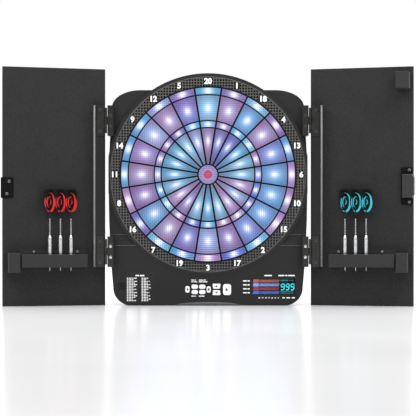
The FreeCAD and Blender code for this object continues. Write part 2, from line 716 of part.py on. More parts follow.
strike_z = door_h / 2 - 2.5
catch_z = strike_z + 3.0                      # the magnet still meets only the plate
strike_size = (25.0, 41.0, 1.2)
strike_past = 4.0                             # the plate reaches past the free edge
catch_past = 3.4
magnet_h = 35.0
catch_past_edge = 1.6                         # the nose passes the door's edge by this
catch_base = (24.0, 0.6, 3.0, 36.5)           # inner side, outer side, thickness, half height
catch_body = (21.0, 0.6, 14.0, 23.0)
catch_nose = (2.0, 11.0, 19.0)                # inner side, height, half height along Z
magnet_n = 9.0
catch_clear = 0.5                             # between catch and strike plate when shut
catch_screw = (7.5, 31.0)                     # in from the door's edge, up and down from the middle
strike_screw = ((12.5, 12.0), (8.0, -12.0))
strike_corner_r = 2.5
catch_corner_r = 4.0
catch_edge_r = 2.5


def strike_plate():
    free = door_free_u
    piece = dbox(free + strike_past - strike_size[0], free + strike_past, panel_n, panel_n + strike_size[2],
                 strike_z - strike_size[1] / 2, strike_z + strike_size[1] / 2)
    return piece.makeFillet(strike_corner_r, depth_edges(piece))


strike_screws = [(door_free_u - inward, strike_z + up) for inward, up in strike_screw]
catch_screws = [(door_free_u - catch_screw[0], catch_z + s * catch_screw[1]) for s in (-1, 1)]


def catch_housing():
    """The catch's moulded body on its base; the magnet hangs over the free edge."""
    free = door_free_u
    low = panel_n + strike_size[2] + catch_clear
    inner, outer, thick, half = catch_base
    base = dbox(free - inner, free - outer, panel_n, panel_n + thick, catch_z - half, catch_z + half)
    base = base.makeFillet(catch_corner_r, depth_edges(base))
    inner, outer, thick, half = catch_body
    body = dbox(free - inner, free - outer, panel_n + 1, panel_n + thick, catch_z - half, catch_z + half)
    body = body.makeFillet(catch_edge_r, far_edges(body, panel_n + thick))
    inner, top, half = catch_nose
    nose = dbox(free - inner, free + catch_past_edge, low, panel_n + top, catch_z - half, catch_z + half)
    return fused(base, body, nose)


def catch_magnet():
    """Magnet bar at the catch's outer edge."""
    free = door_free_u
    low, high = catch_z - magnet_h / 2, catch_z + magnet_h / 2
    near = panel_n + strike_size[2] + catch_clear
    return dbox(free + catch_past_edge, free + catch_past, near, panel_n + magnet_n, low, high)


# ---------------------------------------------------------------- darts
barrel_r = hole_r - fit
barrel_l = 45.0
shaft_r = 1.7
shaft_l = 33.0
stem_l = 8.0
flight_l = 49.0
wing_t = 0.8


def dart(number):
    """One dart in its hole: barrel with point and shaft, and its four-winged flight."""
    u = hole_u(number)
    x, y = du(u), dn(hole_n)
    foot = nest_z + gap
    nose_r = nest_r - gap
    profile = [(0, dart_tip_z), (0.5, dart_tip_z + 0.6), (1.1, dart_tip_z + 8), (nose_r, foot - 1),
               (nose_r, foot), (barrel_r, foot), (barrel_r, foot + barrel_l - 6),
               (shaft_r + 0.5, foot + barrel_l), (shaft_r, foot + barrel_l + 0.5),
               (shaft_r, foot + barrel_l + shaft_l), (0, foot + barrel_l + shaft_l)]
    points = [Vector(x + r, y, z) for r, z in profile]
    body = Part.Face(Part.makePolygon(points + points[:1])).revolve(Vector(x, y, 0), Vector(0, 0, 1), 360)
    low = foot + barrel_l + shaft_l
    wings = post(x, y, shaft_r + 0.3, low, low + stem_l + flight_l * 0.4)
    for k in range(2):
        wings = wings.fuse(wing(x, y, low + stem_l, wing_turn + 90 * k))
    return body, wings.removeSplitter()


def wing(x, y, z, turn):
    """A flat pair of wings through the shaft's axis, with slanted and rounded corners."""
    h, w = flight_l, flight_half
    outline_points = [(-1.2, 0), (-w, h * 0.42), (-w, h * 0.86), (-w * 0.72, h), (w * 0.72, h), (w, h * 0.86),
                      (w, h * 0.42), (1.2, 0)]
    points = [Vector(px, -wing_t / 2, pz) for px, pz in outline_points]
    face = Part.Face(Part.makePolygon(points + points[:1]))
    pair = face.extrude(Vector(0, wing_t, 0))
    pair.rotate(Vector(0, 0, 0), Vector(0, 0, 1), turn)
    pair.translate(Vector(x, y, z))
    return pair


# ---------------------------------------------------------------- the nodes
save("front_housing", front_housing())
save("rear_cover", rear_cover())
save("case_screws", *case_screws())
save("number_ring", tube(spider_r + face_gap, number_ring_r, ring_y, ring_back_y))
save("spider", spider())
for ring, (r0, r1) in rings.items():
    save(ring, *(wedge(r0, r1, n, gap, segment_y, segment_back_y) for n in range(sectors)))
save("outer_bull", tube(bull_r + gap, bull_ring_r - gap, segment_y, segment_back_y))
save("inner_bull", rod(0, dial_z, bull_r, segment_y, segment_back_y))
save("sensor_mat", rod(0, dial_z, flange_r - 1, spider_back_y, mat_back_y))
save("backing_plate", backing_plate())
save("led_board", *led_boards())
save("circuit_boards", *circuit_boards())
save("keypad_mat", keypad_mat())
save("display_digits", display())
save("display_window", rounded(window[0] + 0.2, window[1] - 0.2, window[2] + 0.2, window[3] - 0.2, 1.8,
                               console_y + 0.1, console_y + window_t))
save("legend_panel", rounded(legend[0] + 0.2, legend[1] - 0.2, legend[2] + 0.2, legend[3] - 0.2, 2.8,
                             console_y + 0.05, console_y + legend_t))
save("speaker", speaker())
save("power_jack", power_jack())
save("hinge_brackets", *(bracket(s, z) for s in (-1, 1) for z in hinge_z))
save("board_hinge_leaves", *(board_hinge(s, z) for s in (-1, 1) for z in hinge_z))
save("board_hinge_screws", *board_hinge_screws())
for name, *plan in key_plan():
    save(name, key(*plan))

holder_screws = [(u, holder_screw_z, panel_n + flange_t, 10.0) for u in holder_screw_u]
extra = {-1: [(u, z, panel_n + strike_size[2], 9.0) for u, z in strike_screws],
         1: [(u, z, panel_n + catch_base[2], 11.0) for u, z in catch_screws]}


def cut_by(piece, tools):
    """The piece less every tool that reaches it."""
    near = [t for t in tools if piece.BoundBox.intersect(t.BoundBox)]
    return piece.cut(Part.makeCompound(near)) if near else piece


for side, word in ((-1, "left"), (1, "right")):
    panel = dbox(-door_edge_past, door_free_u, panel_n - door_t, panel_n, 0, door_h)
    panel = panel.makeFillet(0.8, [e for e in panel.Edges if abs(e.tangentAt(e.FirstParameter).z) > 0.9])
    own = [door_screw(*s) for s in holder_screws + extra[side]]
    own += [leaf_screw(z + dz) for z in hinge_z for dz in (-leaf_screw_dz, leaf_screw_dz)]
    blocks = [block(*lower_block)] + ([block(*upper_block)] if side > 0 else [])
    pieces = {"door_panel": [cut_by(panel, own)], "hinge_batten": [cut_by(batten(), own)],
              "door_hinge_leaves": [door_hinge(z) for z in hinge_z],
              "dart_holder": [dart_holder()], "spacer_blocks": blocks, "door_screws": own}
    if side < 0:
        pieces["strike_plate"] = [cut_by(strike_plate(), own)]
    else:
        pieces["catch_housing"] = [cut_by(catch_housing(), own)]
        pieces["catch_magnet"] = [catch_magnet()]
    for name, shapes in pieces.items():
        save(f"{word}_{name}", *(place(s, side) for s in shapes))
    for k, number in enumerate(dart_holes, 1):
        body, wings = dart(number)
        save(f"{word}_dart_{k}", place(body, side))
        save(f"{word}_dart_flight_{k}", place(wings, side))
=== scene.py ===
"""Looks of the electronic dartboard cabinet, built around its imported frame."""

import json
from contextlib import contextmanager
from math import cos, pi, radians, sin, sqrt

import bmesh
import bpy
from mathutils import Matrix, Vector
from mathutils.bvhtree import BVHTree


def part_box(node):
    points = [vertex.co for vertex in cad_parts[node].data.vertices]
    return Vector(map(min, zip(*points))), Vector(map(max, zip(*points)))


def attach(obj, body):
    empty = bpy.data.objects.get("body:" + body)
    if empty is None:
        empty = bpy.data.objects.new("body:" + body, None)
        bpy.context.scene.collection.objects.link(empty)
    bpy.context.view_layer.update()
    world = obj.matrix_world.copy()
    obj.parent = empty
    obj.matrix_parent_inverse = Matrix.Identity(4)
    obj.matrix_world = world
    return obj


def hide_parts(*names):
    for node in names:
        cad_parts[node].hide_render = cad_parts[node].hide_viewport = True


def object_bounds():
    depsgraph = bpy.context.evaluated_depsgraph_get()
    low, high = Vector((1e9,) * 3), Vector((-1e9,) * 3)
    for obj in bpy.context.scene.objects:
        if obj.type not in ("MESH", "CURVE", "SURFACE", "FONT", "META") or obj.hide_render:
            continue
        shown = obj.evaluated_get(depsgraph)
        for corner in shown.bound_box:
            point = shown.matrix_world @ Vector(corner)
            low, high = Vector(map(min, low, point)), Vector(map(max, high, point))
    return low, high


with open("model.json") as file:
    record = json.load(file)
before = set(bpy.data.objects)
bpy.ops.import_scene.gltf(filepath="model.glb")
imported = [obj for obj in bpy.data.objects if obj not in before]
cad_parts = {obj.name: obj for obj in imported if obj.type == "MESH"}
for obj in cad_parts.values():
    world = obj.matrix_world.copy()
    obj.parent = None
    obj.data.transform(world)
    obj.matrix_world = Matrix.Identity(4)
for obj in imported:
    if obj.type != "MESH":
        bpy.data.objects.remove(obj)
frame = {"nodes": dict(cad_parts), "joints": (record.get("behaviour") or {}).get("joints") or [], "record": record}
cad_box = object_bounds()
nodes = frame["nodes"]
MM = 0.001
SWING = {joint["child"]: joint for joint in frame["joints"]}["left_door"]
BODY_OF = {n: body for body, members in frame["record"]["behaviour"]["bodies"].items() for n in members}
SLOT_OF = {part["node"]: part["material_slot"] for part in frame["record"]["subparts"]}


# ------------------------------------------------------------------ camera
RING_LOW, RING_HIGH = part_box("number_ring")
DIAL_X = 0.0
DIAL_Z = (RING_LOW.z + RING_HIGH.z) / 2
FACE_Y = RING_LOW.y                       # the dial's front plane
EYE_HEIGHT = 0.1355
EYE_DISTANCE = 2.600                      # in front of the number ring
VIEW_WIDTH = 0.81994                      # what the view takes in at the number ring's plane
LOOK_UP = 0.06899                         # the view is shifted up by this share of its width
SENSOR_WIDTH = 36.0
FAR_CLIP = 50.0


def add_camera():
    data = bpy.data.cameras.new("camera")
    data.sensor_width = SENSOR_WIDTH
    data.lens = SENSOR_WIDTH * EYE_DISTANCE / VIEW_WIDTH
    data.shift_y = LOOK_UP
    data.clip_end = FAR_CLIP
    camera = bpy.data.objects.new("camera", data)
    camera.location = (DIAL_X, FACE_Y - EYE_DISTANCE, EYE_HEIGHT)
    camera.rotation_euler = (radians(90), 0, 0)
    bpy.context.scene.collection.objects.link(camera)
    bpy.context.scene.camera = camera


# ------------------------------------------------------------------ node kit
class Val:
    """A node's output; arithmetic on it adds Math nodes to its tree."""

    def __init__(self, graph, socket):
        self.graph = graph
        self.socket = socket

    def _math(self, operation, *others, flip=False):
        values = [self, *others]
        if flip:
            values.reverse()
        return self.graph.node("ShaderNodeMath", {"operation": operation}, dict(enumerate(values)))

    def __add__(self, other): return self._math("ADD", other)
    def __radd__(self, other): return self._math("ADD", other)
    def __sub__(self, other): return self._math("SUBTRACT", other)
    def __rsub__(self, other): return self._math("SUBTRACT", other, flip=True)
    def __mul__(self, other): return self._math("MULTIPLY", other)
    def __rmul__(self, other): return self._math("MULTIPLY", other)
    def __truediv__(self, other): return self._math("DIVIDE", other)
    def __rtruediv__(self, other): return self._math("DIVIDE", other, flip=True)
    def __gt__(self, other): return self._math("GREATER_THAN", other)
    def __lt__(self, other): return self._math("LESS_THAN", other)
    def max(self, other): return self._math("MAXIMUM", other)
    def abs(self): return self._math("ABSOLUTE")
    def floor(self): return self._math("FLOOR")
    def fract(self): return self._math("FRACT")
    def exp(self): return self._math("EXPONENT")
    def sqrt(self): return self._math("SQRT")
    def atan2(self, other): return self._math("ARCTAN2", other)

    def step(self, low, high):
        """0 below low, 1 above high, smooth between."""
        return self.graph.node("ShaderNodeMapRange", {"interpolation_type": "SMOOTHSTEP"},
                               {"Value": self, "From Min": low, "From Max": high})


class Graph:
    """A node tree. Every node in it comes from one method, which returns one output as a Val."""

    def __init__(self, tree):
        self.tree = tree

    def feed(self, socket, value):
        """Link a Val to a socket, or set the socket's own value."""
        if isinstance(value, Val):
            self.tree.links.new(value.socket, socket)
        elif socket.type == "RGBA" and len(value) == 3:
            socket.default_value = (*value, 1.0)
        else:
            socket.default_value = value

    def node(self, kind, settings=None, inputs=None, out=0):
        """Add a node: its type, its settings, and the values or links of its sockets."""
        made = self.tree.nodes.new(kind)
        for key, value in (settings or {}).items():
            if key == "steps":
                self.fill_ramp(made.color_ramp, value)
            else:
                setattr(made, key, value)
        for key, value in (inputs or {}).items():
            self.feed(made.inputs[key], value)
        return Val(self, made.outputs[out])

    @staticmethod
    def fill_ramp(ramp, colours):
        """Give a colour ramp plain steps of equal width, one for each colour."""
        ramp.interpolation = "CONSTANT"
        ramp.elements.remove(ramp.elements[-1])
        for n, colour in enumerate(colours):
            stop = ramp.elements.new(n / len(colours)) if n else ramp.elements[0]
            stop.color = (*colour, 1.0)

    def split(self, vector):
        """A vector's three parts."""
        made = self.node("ShaderNodeSeparateXYZ", inputs={0: vector}).socket.node
        return [Val(self, output) for output in made.outputs]

    def vector(self, x=0.0, y=0.0, z=0.0):
        return self.node("ShaderNodeCombineXYZ", inputs={0: x, 1: y, 2: z})


class Finish(Graph):
    """One material: a Principled shader whose inputs are set by name."""

    def __init__(self, name, **constants):
        self.material = bpy.data.materials.new(name)
        self.material.use_nodes = True
        super().__init__(self.material.node_tree)
        self.shader = self.tree.nodes["Principled BSDF"]
        self.place = self.node("ShaderNodeTexCoord", out="Object")
        self.set(**constants)

    def set(self, **values):
        """Set the shader's sockets: base_color=..., roughness=..., emission_strength=..."""
        for key, value in values.items():
            name = " ".join({"ior": "IOR"}.get(w) or w.capitalize() for w in key.split("_"))
            self.feed(self.shader.inputs[name], value)

    def scaled(self, x, y, z):
        """The point's place, stretched along each axis."""
        return self.node("ShaderNodeVectorMath", {"operation": "MULTIPLY"}, {0: self.place, 1: (x, y, z)})

    def noise(self, scale, detail=2.0, at=None, out=0):
        inputs = {"Vector": at or self.place, "Scale": scale, "Detail": detail}
        return self.node("ShaderNodeTexNoise", inputs=inputs, out=out)

    def tinted(self, tone, tint):
        """A colour whose three parts are one tone times a tint."""
        return self.node("ShaderNodeCombineColor", inputs={k: tone * tint[k] for k in range(3)})

    def mix(self, mask, first, second, blend="MIX"):
        return self.node("ShaderNodeMix", {"data_type": "RGBA", "blend_type": blend},
                         {0: mask, 6: first, 7: second}, out=2)

    def bump(self, height, strength=0.4, distance=0.0002):
        inputs = {"Height": height, "Strength": strength, "Distance": distance}
        return self.node("ShaderNodeBump", inputs=inputs)


# ------------------------------------------------------------------ finishes
def moulded(name, shade, grain=900.0, rough=0.5, depth=0.35, tint=(1.0, 1.0, 1.02), gloss=0.2):
    """Moulded plastic: fine grain in the bump, and a faint cloudy tone."""
    f = Finish(name, specular_ior_level=gloss)
    grainy = f.noise(grain, 3.0)
    cloud = f.noise(14.0, 3.0)
    tone = 0.86 + cloud * 0.2 + grainy * 0.1
    f.set(base_color=f.tinted(tone, [shade * t for t in tint]),
          roughness=rough + (grainy - 0.5) * 0.16 + (cloud - 0.5) * 0.1, normal=f.bump(grainy, depth))
    return f.material


def pebble(name, shade, tint=(1.0, 1.0, 1.015)):
    """Door laminate: close pebble grain, its crests lighter as painted highlight and its fine pits darker as
    painted shade.
    """
    f = Finish(name, specular_ior_level=0.2)
    drift = f.node("ShaderNodeVectorMath", {"operation": "SCALE"},
                   {0: f.noise(300.0, out="Color"), "Scale": 0.0012})
    warped = f.node("ShaderNodeVectorMath", {"operation": "ADD"}, {0: f.place, 1: drift})
    cell = f.node("ShaderNodeTexVoronoi", {"feature": "SMOOTH_F1"},
                  {"Vector": warped, "Scale": 560.0, "Smoothness": 0.5}, out="Distance")
    fine = f.noise(1500.0)
    broad = f.noise(22.0, 4.0)
    crest = cell.step(0.15, 0.75)
    # The tone follows the bump: painted highlight on the crests, painted shade in the fine pits, and a broad
    # random drift.
    tone = 0.62 + (1.0 - crest) * 0.42 + (fine - 0.5) * 0.5 + (broad - 0.5) * 0.3
    f.set(base_color=f.tinted(tone, [shade * t for t in tint]),
          roughness=0.42 + crest * 0.16 + (fine - 0.5) * 0.1,
          normal=f.bump((1.0 - crest) * 0.8 + fine * 0.2, 0.5, 0.0003))
    return f.material


def darker(colour, share):
    return tuple(c * share for c in colour)


def metal(name, colour, rough=0.32, brushed=(40.0, 40.0, 900.0)):
    """Turned or rolled metal: fine lines along one way, smudged gloss."""
    f = Finish(name, metallic=1.0)
    lines = f.noise(1.0, 3.0, f.scaled(*brushed))
    smudge = f.noise(60.0, 3.0)
    f.set(base_color=f.mix(lines, darker(colour, 0.72), colour),
          roughness=rough + (smudge - 0.5) * 0.2 + (lines - 0.5) * 0.1, normal=f.bump(lines, 0.15, 0.0001))
    return f.material


def smooth_coat(name, colour, rough=0.45):
    """Silicone rubber or printed ink: smooth, slightly uneven, a trace of dust."""
    f = Finish(name, specular_ior_level=0.45)
    dust = f.noise(260.0, 4.0)
    f.set(base_color=f.mix(dust.step(0.35, 0.75), colour, darker(colour, 0.93)),
          roughness=rough + (dust - 0.5) * 0.2, normal=f.bump(f.noise(1400.0), 0.12, 0.0001))
    return f.material


def laminate(name, colour):
    """Circuit board: solder mask with a fine net of tracks."""
    f = Finish(name, specular_ior_level=0.5)
    x, _, z = f.split(f.place)
    tracks = ((x * 420.0).fract() > 0.8).max((z * 420.0).fract() > 0.8)
    f.set(base_color=f.mix(tracks, colour, darker(colour, 1.7)), roughness=0.35 + f.noise(300.0) * 0.15,
          normal=f.bump(tracks, 0.3, 0.0001))
    return f.material


# Lamp colours, as they look through the lit plastic
LIGHT = {"ice": (0.22, 0.66, 0.94), "cyan": (0.03, 0.54, 0.90), "sky": (0.06, 0.42, 0.86),
         "blue": (0.04, 0.13, 0.76), "periwinkle": (0.15, 0.24, 0.78), "violet": (0.18, 0.11, 0.62),
         "purple": (0.32, 0.10, 0.46), "lilac": (0.38, 0.19, 0.62), "pink": (0.46, 0.21, 0.50),
         "pale": (0.38, 0.46, 0.90), "rose": (0.60, 0.32, 0.70)}
# Clockwise from the top, as the lamps stand in one step of their show
SHOW = {
    "outer_single_segments": "ice pink sky pink periwinkle sky sky sky periwinkle purple "
                             "pale violet pink sky purple pink lilac pale pink violet",
    "double_segments": "cyan purple ice purple sky rose pink rose ice blue "
                       "rose sky ice violet rose cyan sky sky pale purple",
    "triple_segments": "ice lilac cyan ice pink periwinkle blue violet rose pink "
                       "cyan blue pink ice sky pale lilac purple violet cyan",
    "inner_single_segments": "pink violet blue cyan ice ice rose pale rose ice "
                             "cyan ice lilac rose ice cyan cyan cyan ice pale"}
SECTORS = len(SHOW["double_segments"].split())
SECTOR = 2 * pi / SECTORS
PIT_RATE = 260.0                          # fine pits in the lit plastic, to a metre
BLEED = 0.22                              # how far the next lamps tint a segment
BLEED_RATE = 34.0
BLEED_COLOURS = ((0.03, 0.42, 0.86), (0.36, 0.10, 0.50))
DULL_EDGE = (0.17, 0.13, 0.24)
LAMP_HALO = (0.62, 0.78, 1.0)
LAMP_STRENGTH = {"double_segments": 1.15, "outer_single_segments": 1.05, "triple_segments": 1.1,
                 "inner_single_segments": 1.05}
# Middle of the bright spot; its spread along the radius and across; size of its white heart
HOT_SPOT = {"double_segments": (0.165, (0.011, 0.014), 0.5),
            "outer_single_segments": (0.131, (0.021, 0.017), 0.36),
            "triple_segments": (0.099, (0.009, 0.010), 0.5),
            "inner_single_segments": (0.066, (0.020, 0.009), 0.38)}
EDGE_GREY = {"double_segments": 0.12, "outer_single_segments": 0.30, "triple_segments": 0.12,
             "inner_single_segments": 0.40}


def pits(x, z):
    """1 in the fine square pits of the lit plastic."""
    return ((x * PIT_RATE).fract() - 0.5).abs().max(((z * PIT_RATE).fract() - 0.5).abs()) < 0.2


def lit(ring):
    """Lit plastic of one ring: each sector's own colour, white over its lamp, greyer at its edges."""
    f = Finish(ring.replace("_", " "), specular_ior_level=0.5, emission_strength=LAMP_STRENGTH[ring])
    x, _, z = f.split(f.place)
    across, up = x - DIAL_X, z - DIAL_Z
    radius = (across * across + up * up).sqrt()
    turn = across.atan2(up) / SECTOR
    sector = (turn + 0.5 + SECTORS).floor()
    offset = (turn + SECTORS - sector) * SECTOR
    number = (sector / SECTORS).fract() + 0.5 / SECTORS
    own = f.node("ShaderNodeValToRGB", {"steps": [LIGHT[word] for word in SHOW[ring].split()]}, {0: number})
    neighbours = f.mix(f.noise(BLEED_RATE, 1.0).step(0.36, 0.64), *BLEED_COLOURS)
    colour = f.mix(BLEED, own, neighbours)
    spot_r, (spread_out, spread_across), heart_size = HOT_SPOT[ring]
    out = (radius - spot_r) / spread_out
    aside = offset * radius / spread_across
    away = out * out + aside * aside
    halo = (away * -1.0).exp()
    heart = (away * (-1.0 / heart_size ** 2)).exp()
    dull = f.mix((1.0 - halo) * EDGE_GREY[ring], colour, DULL_EDGE)
    glow = f.mix(heart * 0.9, f.mix(halo * 0.26, dull, LAMP_HALO), (1.0, 1.0, 1.0))
    pit = pits(x, z)
    level = (0.52 + halo * 0.55) * (1.0 - pit * 0.2)
    f.set(base_color=(0.03, 0.03, 0.05),
          emission_color=f.mix(1.0, glow, f.tinted(level, (1.0, 1.0, 1.0)), "MULTIPLY"),
          roughness=0.38 + pit * 0.3, normal=f.bump(1.0 - pit, 0.4, 0.0003))
    return f.material


def lit_disc(name, colour, heart, reach):
    """A lit bull: one colour, paler towards its middle."""
    f = Finish(name, specular_ior_level=0.5, emission_strength=1.0)
    x, _, z = f.split(f.place)
    up = z - DIAL_Z
    radius = (x * x + up * up).sqrt() / reach
    f.set(base_color=darker(colour, 0.2), roughness=0.4,
          emission_color=f.mix(radius.step(0.0, 1.0), heart, colour),
          normal=f.bump(1.0 - pits(x, z), 0.4, 0.0003))
    return f.material


def lamp(name, colour, strength=1.0):
    """A lit cell of the display, a little uneven."""
    f = Finish(name, emission_strength=strength)
    flicker = f.noise(900.0)
    f.set(base_color=f.mix(flicker, darker(colour, 0.2), darker(colour, 0.35)), roughness=0.4,
          emission_color=f.mix(flicker.step(0.3, 0.7), darker(colour, 0.8), colour))
    return f.material


def pane(name):
    """Dark tinted acrylic: mostly clear, faintly smoked, glossy."""
    f = Finish(name, specular_ior_level=0.5)
    smear = f.noise(30.0, 3.0)
    f.set(base_color=f.mix(smear, (0.010, 0.011, 0.013), (0.014, 0.015, 0.018)),
          roughness=0.06 + smear * 0.08, alpha=0.16 + smear * 0.04)
    return f.material


BLACK = moulded("black moulding", 0.026)
SHELL = moulded("housing shell", 0.015, grain=700.0, rough=0.52)
WEB = moulded("spider", 0.003, rough=0.6, tint=(1.1, 0.8, 1.9), gloss=0.1)
RING = moulded("number ring", 0.004, grain=1300.0, tint=(1.08, 1.0, 0.92))
GRILLE = moulded("number ring grille", 0.085, grain=1300.0, tint=(1.04, 1.0, 0.95))
DOOR = pebble("door laminate", 0.022)
HARDWARE = metal("bronzed steel", (0.066, 0.065, 0.063), 0.32, (60.0, 60.0, 300.0))
# Light grey for the batten's outer side face: a painted reflection of the bright room at a glancing angle.
BATTEN_SIDE_REFLECTION = moulded("grey edge strip", 0.42, grain=1500.0, rough=0.4)
SCREW = metal("zinc screws", (0.26, 0.26, 0.25), 0.3)
# Darker metal for the bottoms of the shaft's rings: painted shade in the grooves.
GROOVE_SHADE = metal("dark grooves", (0.10, 0.10, 0.10), 0.4)
STEEL = metal("turned steel", (0.74, 0.74, 0.75), 0.34, (30.0, 30.0, 2400.0))
BLACK_METAL = moulded("black strike plate", 0.003, grain=2000.0, rough=0.5, gloss=0.1)
GREY = moulded("grey catch", 0.022, grain=1100.0, gloss=0.4, rough=0.35)
MAGNET = metal("magnet", (0.55, 0.55, 0.54), 0.35)
# Blackened screws; the same dark finish is also the painted shade on the upper screws of the board's hinges.
SCREW_DARK_AND_SHADE = metal("blackened screws", (0.10, 0.095, 0.09), 0.34)
SCREW_BRIGHT = metal("bright screws", (0.86, 0.86, 0.84), 0.22)
BATTEN = moulded("wrapped batten", 0.016, grain=800.0, rough=0.26, depth=0.12)
HOLDER = moulded("dart holder moulding", 0.026, grain=900.0, rough=0.5)
FILM_BLACK = moulded("flight film", 0.008, grain=2000.0, rough=0.3, depth=0.1)
RED_PRINT = smooth_coat("red print", (0.62, 0.035, 0.03), 0.4)
CYAN_PRINT = smooth_coat("cyan print", (0.05, 0.50, 0.58), 0.4)
WHITE = smooth_coat("white keys", (0.86, 0.86, 0.87))
BOARD = laminate("circuit board", (0.01, 0.09, 0.03))
# Near-black: painted shade on the sensor mat and on the sheet behind the grille, and the dark face of the display
# and the numbers' pads.
PIT = moulded("dark recess", 0.004, rough=0.7)
INK = smooth_coat("white ink", (0.88, 0.88, 0.87), 0.5)
PRINT_GREY = smooth_coat("grey ink", (0.70, 0.70, 0.70), 0.5)
SIGN = smooth_coat("dark ink", (0.03, 0.03, 0.03), 0.5)
FILM = moulded("legend film", 0.016, grain=1600.0, rough=0.42, depth=0.15)
# Lighter and glossier than the black moulding: a painted highlight for the console's lip, the ledge beads and the
# number ring's outer rim.
PAINTED_HIGHLIGHT = moulded("polished lip", 0.075, grain=900.0, rough=0.25, depth=0.1, gloss=0.5)
LAMPS = {"row_red_brown": lamp("red brown cells", (0.42, 0.13, 0.11), 1.3),
         "row_periwinkle": lamp("periwinkle cells", (0.22, 0.30, 0.75), 1.6),
         "row_red": lamp("red cells", (0.42, 0.05, 0.05)),
         "row_blue": lamp("blue cells", (0.06, 0.17, 0.78)),
         "cyan": lamp("cyan figures", (0.04, 0.80, 0.92), 2.2),
         "cyan_dim": lamp("cyan cells", (0.02, 0.34, 0.42), 1.5),
         "teal": lamp("teal cells", (0.01, 0.22, 0.25))}
PANE = pane("tinted window")

# ------------------------------------------------------------------ mesh kit
MERGE = 1e-6                              # points closer than this are one
CAD_FLAT = radians(1.0)                   # triangles this close to one plane are one face
EASED_OVER = 38                           # edges that turn by more degrees than this are rounded over
SHARP_OVER = 32                           # and edges that still turn by more than this look sharp


def link(name, mesh, material=None):
    """A finished mesh as an object at the origin."""
    obj = bpy.data.objects.new(name, mesh)
    bpy.context.scene.collection.objects.link(obj)
    if material:
        mesh.materials.clear()
        mesh.materials.append(material)
    return obj


@contextmanager
def editing(mesh):
    """A mesh opened for editing, and written back."""
    bm = bmesh.new()
    bm.from_mesh(mesh)
    yield bm
    bm.to_mesh(mesh)
    bm.free()


def mesh_of(name, bm):
    """The edited geometry as a new mesh."""
    mesh = bpy.data.meshes.new(name)
    bm.to_mesh(mesh)
    bm.free()
    return mesh


def from_bmesh(name, bm, material=None):
    """The edited geometry as an object, its doubles merged and its faces outwards."""
    bmesh.ops.remove_doubles(bm, verts=bm.verts, dist=MERGE)
    bmesh.ops.recalc_face_normals(bm, faces=bm.faces)
    return link(name, mesh_of(name, bm), material)


def band(bm, low, high):
    """Faces between two closed rows of points; a row may be one point over and over."""
    for k in range(len(low)):
        j = (k + 1) % len(low)
        around = list(dict.fromkeys((low[k], low[j], high[j], high[k])))
        if len(around) > 2:
            bm.faces.new(around)


def freeze(obj):
    """Apply every modifier, leaving a plain mesh at the origin."""
    graph = bpy.context.evaluated_depsgraph_get()
    mesh = bpy.data.meshes.new_from_object(obj.evaluated_get(graph), depsgraph=graph)
    obj.modifiers.clear()
    old = obj.data
    obj.data = mesh
    bpy.data.meshes.remove(old)
    return obj


def thickened(obj, thickness, offset=0.0):
    """A sheet given its thickness; offset -1 builds behind its face and 0 on both sides."""
    solid = obj.modifiers.new("thickness", "SOLIDIFY")
    solid.thickness = thickness
    solid.offset = offset
    return freeze(obj)


def smooth_by_angle(obj, angle):
    """Smooth faces, with sharp edges where the surface turns by more than so many degrees."""
    with editing(obj.data) as bm:
        for face in bm.faces:
            face.smooth = True
        for edge in bm.edges:
            edge.smooth = len(edge.link_faces) == 2 and edge.calc_face_angle(0) < radians(angle)
    return obj


def paint(node, material):
    """Give a CAD piece its finish."""
    data = nodes[node].data
    data.materials.clear()
    data.materials.append(material)


def add(obj, body, slot, *stands_for):
    """Declare one made piece: what it moves with and the pieces it stands for. Its finish (slot) is not used."""
    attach(obj, body)
    if stands_for:
        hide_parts(*stands_for)
    return obj


def eased(node, name, material, width, segments=2):
    """A copy of a CAD piece with its moulded edges rounded over; it stands for that piece."""
    obj = link(name, nodes[node].data.copy(), material)
    with editing(obj.data) as bm:
        bmesh.ops.remove_doubles(bm, verts=bm.verts, dist=MERGE)
        bmesh.ops.dissolve_limit(bm, angle_limit=CAD_FLAT, verts=bm.verts, edges=bm.edges, delimit={"NORMAL"})
    bevel = obj.modifiers.new("edges", "BEVEL")
    bevel.width = width
    bevel.segments = segments
    bevel.limit_method = "ANGLE"
    bevel.angle_limit = radians(EASED_OVER)
    bevel.use_clamp_overlap = True
    freeze(obj)
    smooth_by_angle(obj, SHARP_OVER)
    level = obj.modifiers.new("flat faces stay flat", "WEIGHTED_NORMAL")
    level.keep_sharp = True
    freeze(obj)
    return add(obj, BODY_OF[node], SLOT_OF[node], node)


